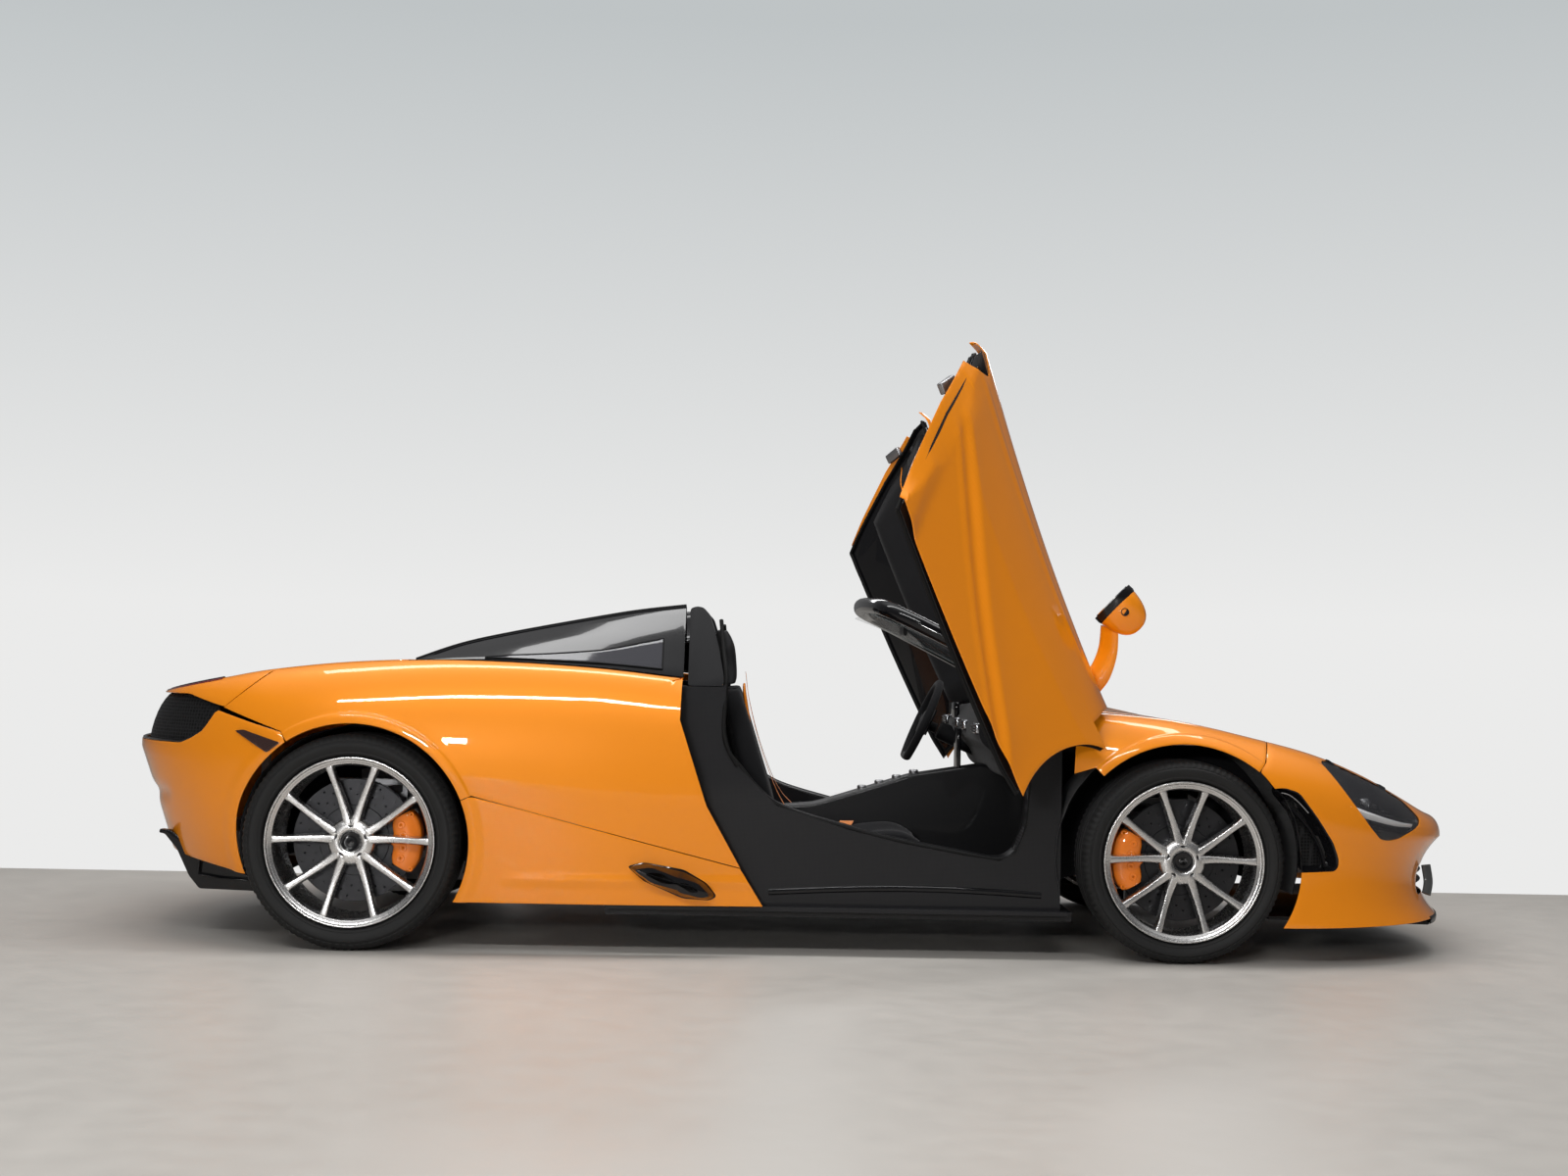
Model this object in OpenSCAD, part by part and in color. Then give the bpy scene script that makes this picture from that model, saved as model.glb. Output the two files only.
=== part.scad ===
// Open-top two-seat mid-engined supercar with dihedral doors, at real size in millimetres.
// +X forward, +Y to the car's left, +Z up. Origin on the ground, at mid-length on the centreline.
// Doors stand open at rest. The right-hand side is modelled and mirrored.

/* [Chassis] */
// Distance between the axles
wheelbase = 2670; // [2600:5:2740]
// Distance of the front axle ahead of the origin
front_axle_x = 1240; // [1230:1:1250]
// Half of the front track
front_half_track = 815; // [805:1:820]
// Half of the rear track
rear_half_track = 795; // [785:1:800]
// Underside of the floor above the ground
floor_z = 116; // [110:1:120]
// Thickness of the floor
floor_t = 30; // [20:1:34]

/* [Wheels] */
// Outer radius of a front tyre
front_tyre_r = 327; // [320:1:332]
// Width of a front tyre
front_tyre_w = 245; // [235:1:250]
// Radius of a front rim over its lip
front_lip_r = 259; // [250:1:262]
// Outer radius of a rear tyre
rear_tyre_r = 345.5; // [338:0.5:350]
// Width of a rear tyre
rear_tyre_w = 305; // [290:1:310]
// Radius of a rear rim over its lip
rear_lip_r = 272; // [264:1:276]
// Number of pairs of spokes
spoke_pairs = 5; // [4:1:7]
// Radius of a brake disc
disc_r = 197; // [180:1:200]
// Thickness of a brake disc
disc_t = 34; // [28:1:36]
// Radius of a wheel arch beyond its tyre
arch_gap = 50; // [42:1:56]

/* [Body panels] */
// Thickness of the body panels
skin_t = 12; // [8:1:14]
// Gap between two fixed panels
seam = 3; // [1:0.5:5]
// Gap around a door or lid
shut = 7; // [6:0.5:9]
// Width of the strip of body inboard of the shoulder line
strip_w = 130; // [110:1:150]

/* [Doors] */
// Angle through which a door swings up
door_angle = 75.6; // [60:0.1:80]
// Thickness of the inner door trim
trim_t = 62; // [45:1:70]

/* [Cabin] */
// Half the width of the cabin floor between the sills
cabin_half_w = 640; // [620:1:660]
// Outer face of the sills from the centreline
sill_half_w = 788; // [770:1:792]
// Diameter of the steering wheel
wheel_d = 350; // [330:1:370]
// Distance of a seat's middle from the centreline
seat_y = 370; // [350:1:385]
// Width of a seat
seat_w = 500; // [440:1:520]

/* [Hidden] */
$fn = 64;

rear_axle_x = front_axle_x - wheelbase;
front_arch_r = front_tyre_r + arch_gap;
rear_arch_r = rear_tyre_r + arch_gap - 17;
floor_top = floor_z + floor_t;
eps = 0.3;

// ---------------------------------------------------------------- body surface
// One row per station round the right-hand side, from the tail's middle to the nose's middle.
// x at the widest level; half-widths at the widest, lower, sill and shoulder levels;
// heights of the widest, sill and shoulder levels and of the centreline.
X = 0; WIDE_Y = 1; WIDE_Z = 2; LOW_Y = 3; SILL_Y = 4; SILL_Z = 5; CREST_Y = 6; CREST_Z = 7; MID_Z = 8;
BODY = [
    // x      wide_y wide_z low_y sill_y sill_z crest_y crest_z mid_z
    [-2271,     0,   620,    0,     0,   290,     0,   806,   806],
    [-2262,   230,   620,  222,   205,   290,   225,   808,   807],
    [-2225,   430,   618,  415,   385,   288,   412,   812,   810],
    [-2150,   600,   612,  580,   540,   280,   565,   820,   816],
    [-2030,   740,   602,  712,   655,   265,   680,   838,   828],
    [-1880,   850,   594,  822,   760,   245,   742,   862,   846],
    [-1700,   925,   592,  893,   850,   215,   782,   893,   872],
    [-1430,   962,   600,  932,   890,   180,   805,   922,   905],
    [-1100,   960,   565,  928,   900,   150,   818,   934,   925],
    [ -700,   945,   520,  927,   905,   150,   822,   919,   925],
    [ -360,   925,   495,  910,   895,   156,   815,   886,   900],
    [    0,   905,   480,  882,   872,   160,   803,   852,   870],
    [  400,   900,   480,  872,   865,   158,   793,   824,   850],
    [  800,   915,   500,  886,   872,   155,   800,   802,   838],
    [ 1000,   935,   525,  906,   888,   150,   803,   797,   824],
    [ 1240,   955,   545,  928,   915,   135,   792,   776,   778],
    [ 1500,   948,   505,  937,   935,   124,   762,   722,   712],
    [ 1700,   912,   455,  905,   922,   124,   712,   672,   655],
    [ 1880,   842,   418,  836,   865,   126,   640,   606,   592],
    [ 2030,   735,   402,  728,   765,   128,   548,   536,   532],
    [ 2140,   600,   396,  594,   632,   130,   440,   486,   492],
    [ 2215,   430,   392,  425,   458,   130,   318,   463,   470],
    [ 2258,   220,   390,  217,   236,   130,   162,   455,   458],
    [ 2271,     0,   390,    0,     0,   130,     0,   452,   454]];
LAST = len(BODY) - 1;
LOW_AT = 0.45;
NOSE_FROM = 1600;
TAIL_FROM = -1750;
// How far the sill, lower and shoulder levels stand back from the widest level at each end
NOSE_BACK = [22, 85, 34];
TAIL_BACK = [125, 72, 130];

function flip_y(r) = [r[0], -r[1], r[2], -r[3], -r[4], r[5], -r[6], r[7], r[8]];
function station(i) = i < 0 ? flip_y(BODY[-i]) : i > LAST ? flip_y(BODY[2 * LAST - i]) : BODY[i];
function spline(a, b, c, d, f) =
    0.5 * (2 * b + (c - a) * f + (2 * a - 5 * b + 4 * c - d) * f * f + (3 * b - a - 3 * c + d) * f * f * f);
function row(s) = let (i = min(floor(s), LAST - 1), f = s - i)
    spline(station(i - 1), station(i), station(i + 1), station(i + 2), f);
function end_ratio(x) = x > NOSE_FROM ? (x - NOSE_FROM) / (BODY[LAST][X] - NOSE_FROM)
    : x < TAIL_FROM ? (x - TAIL_FROM) / (BODY[0][X] - TAIL_FROM) : 0;
function set_back(x, level) = let (e = end_ratio(x)) e * e * (x > 0 ? -NOSE_BACK[level] : TAIL_BACK[level]);
function bisect(x, lo, hi, n, top) = n == 0 ? (lo + hi) / 2
    : let (m = (lo + hi) / 2, r = row(m)[X]) (r + (top ? set_back(r, 2) : 0)) < x
        ? bisect(x, m, hi, n - 1, top) : bisect(x, lo, m, n - 1, top);
// Station number at a given x, on the widest level or on the shoulder
function s_at(x) = bisect(x, 0, LAST, 16, false);
function s_top(x) = bisect(x, 0, LAST, 16, true);
// Smooth curve through values at 0, LOW_AT and 1
function bend(a, b, c, f) = a * (f - LOW_AT) * (f - 1) / LOW_AT
    + b * f * (f - 1) / (LOW_AT * (LOW_AT - 1)) + c * f * (f - LOW_AT) / (1 - LOW_AT);
ROUND = 0.9;
// Point on the right-hand side: s is the station, t runs 0 sill, 1 widest, 2 shoulder
function side(s, t) = let (r = row(s), x = r[X]) t <= 1
    ? [x + bend(set_back(x, 0), set_back(x, 1), 0, t), -bend(r[SILL_Y], r[LOW_Y], r[WIDE_Y], t),
        r[SILL_Z] + (r[WIDE_Z] - r[SILL_Z]) * t]
    : let (a = 90 * (t - 1), c = pow(max(cos(a), 0), ROUND), q = pow(sin(a), ROUND))
        [x + set_back(x, 2) * (1 - c), -(r[CREST_Y] + (r[WIDE_Y] - r[CREST_Y]) * c),
            r[WIDE_Z] + (r[CREST_Z] - r[WIDE_Z]) * q];
// Level t at height z of station s
function t_at(s, z) = let (r = row(s)) z <= r[WIDE_Z] ? (z - r[SILL_Z]) / (r[WIDE_Z] - r[SILL_Z])
    : 1 + asin(pow(min((z - r[WIDE_Z]) / (r[CREST_Z] - r[WIDE_Z]), 1), 1 / ROUND)) / 90;
function at_xz(x, z) = let (s = s_at(x)) [s, t_at(s, z)];
// Top surface inboard of the shoulder
function smooth(f) = f * f * (3 - 2 * f);
function top_z(x, y) = let (r = row(s_top(x)))
    r[CREST_Z] + (r[MID_Z] - r[CREST_Z]) * smooth(min(max(1 - abs(y) / max(r[CREST_Y], 1), 0), 1));
function crest(s) = side(s, 2);
// Shoulder line moved inboard by d
function inboard(s, d) = let (a = crest(max(s - 0.1, 0)), b = crest(min(s + 0.1, LAST)), c = crest(s),
    n = norm([b[0] - a[0], b[1] - a[1]]), x = c[0] - d * (b[1] - a[1]) / n, y = c[1] + d * (b[0] - a[0]) / n)
    [x, min(y, 0), top_z(x, y)];
function lerp(a, b, f) = a + (b - a) * f;
// Point along a polyline whose vertices carry their own parameter: [[u, x, z], ...]
function along(path, u, i = 0) = i >= len(path) - 2 || u <= path[i + 1][0]
    ? let (a = path[i], b = path[i + 1]) lerp([a[1], a[2]], [b[1], b[2]], (u - a[0]) / (b[0] - a[0]))
    : along(path, u, i + 1);
function side_mm(p) = let (q = at_xz(p[0], p[1])) side(q[0], q[1]);

// ---------------------------------------------------------------- surface grids
function unit(v) = v / max(norm(v), 1e-9);
function grid_normal(g, i, j) = let (n = len(g) - 1, m = len(g[0]) - 1)
    unit(cross(g[min(i + 1, n)][j] - g[max(i - 1, 0)][j], g[i][min(j + 1, m)] - g[i][max(j - 1, 0)]));
function offset_grid(g, d) = [for (i = [0:len(g) - 1]) [for (j = [0:len(g[0]) - 1])
    g[i][j] + d * grid_normal(g, i, j)]];
function quads(a, b, c, d) = [[a, b, c], [a, c, d]];
// Closed solid between two grids; the first is the outer one when out is 1
module slab(g, h, out = 1) {
    n = len(g);
    m = len(g[0]);
    k = n * m;
    faces = concat(
        [for (i = [0:n - 2], j = [0:m - 2], f = quads(i * m + j, i * m + j + 1, (i + 1) * m + j + 1,
            (i + 1) * m + j)) f],
        [for (i = [0:n - 2], j = [0:m - 2], f = quads(k + i * m + j, k + (i + 1) * m + j,
            k + (i + 1) * m + j + 1, k + i * m + j + 1)) f],
        [for (i = [0:n - 2], f = concat(
            quads(i * m, (i + 1) * m, k + (i + 1) * m, k + i * m),
            quads(i * m + m - 1, k + i * m + m - 1, k + (i + 1) * m + m - 1, (i + 1) * m + m - 1))) f],
        [for (j = [0:m - 2], f = concat(
            quads(j, k + j, k + j + 1, j + 1),
            quads((n - 1) * m + j, (n - 1) * m + j + 1, k + (n - 1) * m + j + 1, k + (n - 1) * m + j))) f]);
    points = concat([for (r = g, p = r) p], [for (r = h, p = r) p]);
    polyhedron(points, out > 0 ? faces : [for (f = faces) [f[0], f[2], f[1]]]);
}
module shell(g, t, out = 1) slab(g, offset_grid(g, -out * t), out);
module both_sides() {
    children();
    mirror([0, 1, 0]) children();
}
module box(lo, hi) translate(lo) cube(hi - lo);
// Plate in the XZ plane between two distances from the centreline, on the right
module side_plate(points, y0, y1) translate([0, -y0, 0]) rotate([90, 0, 0]) linear_extrude(y1 - y0) polygon(points);
// Ring sweep along a path with an oval section
function ring(p, q, w, h, n, spin) = let (d = unit(q), u = unit(cross(d, [0, 0, 1])), v = cross(u, d))
    [for (i = [0:n - 1]) let (a = 360 * i / n + spin) p + w * cos(a) * u + h * sin(a) * v];
module sweep(path, w, h, n = 8, spin = 0) {
    c = len(path);
    pts = [for (i = [0:c - 1], p = ring(path[i], path[min(i + 1, c - 1)] - path[max(i - 1, 0)], w, h, n, spin)) p];
    faces = concat([for (i = [0:c - 2], j = [0:n - 1], f = quads(i * n + j, i * n + (j + 1) % n,
        (i + 1) * n + (j + 1) % n, (i + 1) * n + j)) f],
        [[for (j = [n - 1:-1:0]) j]], [[for (j = [0:n - 1]) (c - 1) * n + j]]);
    polyhedron(pts, faces);
}

// ---------------------------------------------------------------- body panels
function arch_xz(cx, cz, r, a) = [cx + r * cos(a), cz + r * sin(a)];
function front_arch(a) = arch_xz(front_axle_x, front_tyre_r, front_arch_r, a);
function rear_arch(a) = arch_xz(rear_axle_x, rear_tyre_r, rear_arch_r, a);
function arch_x(cx, cz, r, z, way) = cx + way * sqrt(max(r * r - (z - cz) * (z - cz), 0));
// Panel corner points, as x and z
SEAM_FRONT_A = 51;
FENDER_REAR = [884, 605];
FENDER_TOP_X = 916;
FENDER_ARCH_A = 134;
QUARTER_REAR_A = 123;
QUARTER_FRONT_A = 22;
SKIRT_FRONT = [-177, 279];
DOOR_REAR = [[0, -102, 158], [0.12, -177, 279], [0.38, -289, 481], [0.62, -379, 753], [0.7, -367, 878]];
BONNET_REAR_X = 1010;
DECK_FRONT_X = -1270;

// Any point on the outer surface: levels 0 to 2 are the side, 2 to 3 the strip inboard of the shoulder
function surf(q) = q[1] <= 2 ? side(q[0], q[1]) : inboard(q[0], strip_w * (q[1] - 2));
// Grid between two lists of station and level
function patch(a, b, n) = [for (i = [0:len(a) - 1]) [for (j = [0:n]) surf(lerp(a[i], b[i], j / n))]];
// Polyline through [u, x, level] points, as station and level
function edge_at(path, u) = let (p = along(path, u)) [s_at(p[0]), p[1]];
function level(x, z) = t_at(s_at(x), z);
function steps(n) = [for (i = [0:n]) i / n];
// Hexahedral bracket from a flat face up to just inside a top panel
module top_bracket(x, y, w, z0) {
    c = [for (d = [[-1, -1], [1, -1], [1, 1], [-1, 1]]) [x + d[0] * w / 2, y + d[1] * w / 2]];
    polyhedron(concat([for (p = c) [p[0], p[1], z0]], [for (p = c) [p[0], p[1], top_z(p[0], p[1]) - skin_t / 2]]),
        [[0, 1, 2], [0, 2, 3], [4, 6, 5], [4, 7, 6], for (i = [0:3]) let (k = (i + 1) % 4) each quads(i, i + 4, k + 4, k)]);
}
// Bracket from a side panel inwards to a flat face at distance y1 from the centreline
module side_bracket(x, z, w, y1) {
    c = [for (d = [[-1, -1], [1, -1], [1, 1], [-1, 1]]) [x + d[0] * w / 2, z + d[1] * w / 2]];
    polyhedron(concat([for (p = c) [p[0], side_mm(p)[1] + skin_t / 2, p[1]]], [for (p = c) [p[0], -y1, p[1]]]),
        [[0, 2, 1], [0, 3, 2], [4, 5, 6], [4, 6, 7], for (i = [0:3]) let (k = (i + 1) % 4) each quads(i, k, k + 4, i + 4)]);
}

function fender_edge() = [[0, FENDER_REAR[0], level(FENDER_REAR[0], FENDER_REAR[1])], [0.16, 890, level(890, 690)],
    [0.3, FENDER_TOP_X, 2], [0.42, FENDER_TOP_X, 3], [1, 1592, 3]];
module front_fender() {
    us = steps(26);
    inner = [for (u = us) let (a = front_arch(lerp(FENDER_ARCH_A, SEAM_FRONT_A, u))) at_xz(a[0], a[1])];
    shell(patch(inner, [for (u = us) edge_at(fender_edge(), u)], 10), skin_t, 1);
    top_bracket(1150, -694, 36, shelf_z + eps);
    top_bracket(1390, -674, 36, shelf_z + eps);
}
module front_fenders() color("orange") both_sides() front_fender();

TIP = [-1862, 762];
QUARTER_EDGE = [[0, SKIRT_FRONT[0] - shut, SKIRT_FRONT[1] + seam], [0.14, -289 - shut, 481], [0.3, -379 - shut, 753],
    [0.38, -372 - shut, 990], [0.9, -1700, 990], [1, TIP[0] + seam, TIP[1] + seam]];
function shoulder_z(x) = row(s_at(x))[CREST_Z];
module rear_quarter() {
    cols = [for (u = steps(34)) let (a = rear_arch(lerp(QUARTER_FRONT_A, QUARTER_REAR_A, u)), e = along(QUARTER_EDGE, u),
        o = [e[0], u < 0.9 ? min(e[1], shoulder_z(e[0]) - seam) : lerp(shoulder_z(-1700) - seam, TIP[1] + seam, (u - 0.9) * 10)])
        [for (v = steps(10)) side_mm(lerp(a, o, sin(90 * v)))]];
    shell(cols, skin_t, -1);
    side_bracket(-560, 640, 44, sill_half_w + eps);
    side_bracket(-600, 400, 44, sill_half_w + eps);
}
module rear_quarters() color("orange") both_sides() rear_quarter();

SKIRT_REAR_A = -29;
INTAKE = [[-546, 284], [-491, 297], [-363, 275], [-290, 233], [-256, 189], [-279, 176], [-367, 182], [-490, 236]];
module side_skirt() {
    top = [rear_arch(QUARTER_FRONT_A)[0], rear_arch(QUARTER_FRONT_A)[1] - seam - 2.5];
    low = rear_arch(SKIRT_REAR_A);
    difference() {
        union() {
            shell([for (u = steps(18)) [for (v = steps(8))
                let (t_top = [lerp(top[0], SKIRT_FRONT[0] - shut, u), lerp(top[1], SKIRT_FRONT[1] - 2.5, u)],
                    t_low = [lerp(low[0], DOOR_REAR[0][1] - shut, u), 158],
                    z = lerp(t_low[1], t_top[1], v), x = lerp(t_low[0], t_top[0], v),
                    bow = arch_x(rear_axle_x, rear_tyre_r, rear_arch_r, z, 1) - lerp(low[0], top[0], v))
                side_mm([x + bow * pow(1 - u, 3), z])]], skin_t, 1);
            side_bracket(-900, 220, 44, sill_half_w + eps);
            side_bracket(-200, 200, 44, sill_half_w + eps);
        }
        side_plate(INTAKE, 700, 1000);
    }
}
module side_skirts() color("orange") both_sides() side_skirt();

// Stations of the front bumper's grid from the wheel arch to the nose
VENT = [[1400, 592], [1508, 568], [1560, 572], [1609, 557], [1672, 475], [1728, 395], [1748, 343], [1746, 316],
    [1732, 304], [1500, 297], [1400, 297]];
LAMP = [[1707, 649], [1716, 656], [1740, 653], [1802, 628], [1885, 592], [1950, 561], [2012, 527], [2060, 480],
    [2074, 462], [2068, 446], [2045, 432], [1969, 404], [1930, 399], [1898, 405], [1860, 445], [1796, 528]];
GRILLE = [[-620, 205], [-560, 300], [-300, 325], [300, 325], [560, 300], [620, 205]];
SEAM_TOP_Z = 620;
function bumper_start(t) = let (s = s_at(1500), r = row(s), z = side(s, min(t, 2))[2])
    z < SEAM_TOP_Z ? s_at(max(arch_x(front_axle_x, front_tyre_r, front_arch_r, z, 1), 1475) + seam)
    : s_at(lerp(1475, 1560, min((z - SEAM_TOP_Z) / 90, 1)) + (t > 2 ? 32 * (t - 2) : 0) + seam);
module front_bumper() color("orange") {
    ts = concat([for (i = [0:14]) i / 7], [2.25, 2.5, 2.75, 3]);
    us = steps(22);
    right = [for (u = us) [for (t = ts) let (s0 = bumper_start(t), s1 = LAST)
        surf([lerp(s0, s1, u), t])]];
    left = [for (i = [len(right) - 2:-1:0]) [for (p = right[i]) [p[0], -p[1], p[2]]]];
    difference() {
        union() {
            shell(concat(right, left), skin_t, 1);
            for (k = [-1, 1]) top_bracket(1700, k * 620, 40, shelf_z - 80);
        }
        both_sides() {
            side_plate(VENT, 700, 1100);
            side_plate(LAMP, 250, 1100);
        }
        translate([1950, 0, 0]) rotate([90, 0, 90]) linear_extrude(500) polygon(GRILLE);
    }
}

// Splitter under the nose: a thin blade with its own plan outline, carried by the crash beam's posts
module splitter() color([0.08, 0.08, 0.09]) {
    nose = [for (s = [20:0.25:LAST]) side(s, 0)];
    out = [for (p = nose) [p[0] - 8, p[1] * 0.99]];
    difference() {
        translate([0, 0, splitter_z]) linear_extrude(splitter_t)
            polygon(concat([[1600, -560]], [for (p = out) p], [for (i = [len(out) - 2:-1:0]) [out[i][0], -out[i][1]]],
                [[1600, 560]]));
        for (k = [-1, 1]) translate([1900, k * 300, splitter_z - 1]) cylinder(h = splitter_t + 2, r = tow_r);
    }
    for (k = [-1, 1]) box([2040, k * 300 - 30, splitter_z + splitter_t], [2100, k * 300 + 30, rail_z0]);
}

function bonnet_row(s, d) = let (p = inboard(s, strip_w + d)) [for (f = [-1:1 / 7:1.001])
    let (x = p[0], y = p[1] * -f) [x, y, top_z(x, y)]];
module bonnet() color("orange") {
    s0 = s_at(BONNET_REAR_X);
    rows = concat([for (s = [s0:(21 - s0) / 12:21.01]) s], [21.35, 21.7]);
    slab([for (s = rows) bonnet_row(s, shut)], [for (s = rows) [for (p = bonnet_row(s, shut)) p - [0, 0, skin_t]]], 1);
    for (k = [-1, 1]) bonnet_hinge(k);
}

// Rear bumper: from the arch round the tail, its top edge under the lamp band
module rear_bumper() color("orange") {
    us = steps(20);
    s0 = s_at(-1662);
    right = [for (u = us) let (s1 = lerp(s0, 0, u), t1 = t_at(s1, edge_z(row(s1)[X])))
        [for (v = steps(9)) let (t = t1 * v, z = side(s1, t)[2],
            s_arch = s_at(arch_x(rear_axle_x, rear_tyre_r, rear_arch_r, z, -1)),
            s = z < 663 ? lerp(min(s_arch, s0), 0, u) : s1)
            side(s, t)]];
    left = [for (i = [len(right) - 2:-1:0]) [for (p = right[i]) [p[0], -p[1], p[2]]]];
    shell(concat(right, left), skin_t, -1);
    for (k = [-1, 1]) box([-2196, k * 250 - 20, 322], [-1990, k * 250 + 20, 346]);
}
QUARTER_FOOT = rear_arch(QUARTER_REAR_A);
function edge_z(x) = x > TIP[0] ? lerp(QUARTER_FOOT[1], TIP[1], (x - QUARTER_FOOT[0]) / (TIP[0] - QUARTER_FOOT[0])) - seam
    : x > -1935 ? lerp(TIP[1], 692, (x - TIP[0]) / (-1935 - TIP[0])) - seam
    : x > -2020 ? lerp(692, 648, (x + 1935) / -85) - seam : 645;

// Band of lamps and mesh set back between the bumper and the deck
module tail_lights() color([0.06, 0.06, 0.07]) {
    us = steps(16);
    right = [for (u = us) let (s = lerp(s_at(-1890), 0, u), x = row(s)[X],
        z0 = x > -1935 ? lerp(765, 692, (x + 1862) / -73) : x > -2020 ? lerp(692, 640, (x + 1935) / -85) : 640)
        [for (v = steps(5)) side(s, lerp(t_at(s, z0), 1.93, v))]];
    left = [for (i = [len(right) - 2:-1:0]) [for (p = right[i]) [p[0], -p[1], p[2]]]];
    g = concat(right, left);
    slab(offset_grid(g, 26), offset_grid(g, 44), -1);
    for (k = [-1, 1]) box([-2176, k * 400 - 15, 690], [-1990, k * 400 + 15, 715]);
}

module diffuser() color([0.07, 0.07, 0.08]) {
    for (k = [-2:2]) side_plate_mid([[-1700, 200], [-1980, 212], [-2062, 300], [-2062, 262], [-1990, 172], [-1700, 165]],
        k * 190 - 6, k * 190 + 6);
    side_plate_mid([[-1700, 200], [-1980, 212], [-2062, 300], [-2062, 312], [-1974, 226], [-1700, 214]], -470, 470);
    for (k = [-1, 1]) box([-1940, k * 330 - 15, 216], [-1900, k * 330 + 15, rail_z0]);
}
module side_plate_mid(points, y0, y1) translate([0, y1, 0]) rotate([90, 0, 0]) linear_extrude(y1 - y0) polygon(points);

// Lower edge of the deck's side, down to the lamp band
function lamp_top(x) = x > -1700 ? 2000 : x > TIP[0] ? lerp(shoulder_z(-1700), TIP[1], (x + 1700) / (TIP[0] + 1700)) + seam
    : lerp(TIP[1] + 6, 806, min((x - TIP[0]) / (-2010 - TIP[0]), 1));
function deck_row(s) = let (x = row(s)[X], p = crest(s), t0 = t_at(s, min(lamp_top(x), row(s)[CREST_Z] - 1)),
    rim = [for (f = [0:0.25:0.76]) side(s, lerp(t0, 2, f))])
    concat(rim, [for (f = [-1:1 / 8:1.001]) [p[0], p[1] * -f, top_z(p[0], p[1] * f)]],
        [for (i = [3:-1:0]) [rim[i][0], -rim[i][1], rim[i][2]]]);
DECK_S = [6.6, 6.2, 5.8, 5.4, 5, 4.6, 4.2, 3.8, 3.4, 3, 2.6, 2.2, 1.8, 1.4, 1, 0.6, 0.3, 0.12];
module rear_deck() color("orange") {
    g = [for (s = concat([s_at(DECK_FRONT_X)], DECK_S)) deck_row(s)];
    difference() {
        shell(g, skin_t, -1);
        box([WING_X[0] - 4, -WING_HALF - 4, 700], [WING_X[1] + 4, WING_HALF + 4, 1000]);
    }
    for (k = [-1, 1]) {
        deck_post(-1500, k * 340, 36);
        deck_post(-1750, k * 340, 36);
    }
}
module deck_post(x, y, w) {
    c = [for (d = [[-1, -1], [1, -1], [1, 1], [-1, 1]]) [x + d[0] * w / 2, y + d[1] * w / 2]];
    polyhedron(concat([for (p = c) [p[0], p[1], rail_z1 + eps]], [for (p = c) [p[0], p[1], top_z(p[0], p[1]) - skin_t / 2]]),
        [[0, 1, 2], [0, 2, 3], [4, 6, 5], [4, 7, 6], for (i = [0:3]) let (k = (i + 1) % 4) each quads(i, i + 4, k + 4, k)]);
}

// Rear wing lying flush in the deck
WING_X = [-2090, -1860];
WING_HALF = 480;
module rear_wing() color("orange") {
    rows = [for (x = [WING_X[0]:(WING_X[1] - WING_X[0]) / 6:WING_X[1] + 1]) [for (f = [-1:0.125:1])
        let (y = WING_HALF * f) [x, y, top_z(x, y) + 4]]];
    slab(rows, [for (r = rows) [for (p = r) p - [0, 0, skin_t + 6]]], 1);
    for (k = [-1, 1]) box([-1959, k * 345 - 12, rail_z1 + eps], [-1925, k * 345 + 12, top_z(-1942, 345) - 5]);
}

// Roll hoops behind the seats and the movable tonneau with its flying buttresses
HOOP = [[-366, 1120], [-330, 1124], [-300, 1098], [-284, 1049], [-266, 982], [-250, 893], [-250, 860], [-366, 860]];
// x, half-width at the base, height at the base, half-width and height at the top, deck height
BUTTRESS = [[-1252, 800, 931, 775, 935, 922], [-1110, 806, 934, 720, 988, 934], [-940, 808, 932, 672, 1030, 950],
    [-650, 808, 917, 622, 1089, 976], [-520, 806, 905, 604, 1112, 990], [-380, 803, 890, 590, 1130, 1004]];
function buttress_row(b) = let (in_y = b[3] - 95, r = [[b[1], b[2]], [lerp(b[1], b[3], 0.5), lerp(b[2], b[4], 0.56)],
    [b[3] + 14, b[4] - 8], [b[3] - 6, b[4]], [b[3] - 40, b[4] - 4], [in_y + 20, lerp(b[5], b[4], 0.5)], [in_y - 20, b[5] + 3], [in_y - 190, b[5] + 8], [0, b[5] + 14]])
    concat([for (p = r) [b[0], -p[0], p[1]]], [for (i = [len(r) - 2:-1:0]) [b[0], r[i][0], r[i][1]]]);
module tonneau() color([0.05, 0.05, 0.06]) {
    g = [for (i = [0:0.5:len(BUTTRESS) - 1]) let (a = BUTTRESS[floor(i)], b = BUTTRESS[ceil(i)]) buttress_row((a + b) / 2)];
    difference() {
        slab(g, [for (r = g) [for (p = r) p - [0, sign(p[1]) * (abs(p[1]) > 560 ? 5 : 0), skin_t]]], 1);
    }
    for (k = [-1, 1]) difference() {
        box([-1252, k * 300 - 20, 895], [-1232, k * 300 + 20, 922]);
        translate([lid_pin_x, 0, lid_pin_z]) rotate([90, 0, 0]) cylinder(h = 900, r = lid_pin_r + 0.05, center = true);
    }
}
lid_pin_z = 906;
lid_pin_x = -1244;
lid_pin_r = 6;
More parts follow.
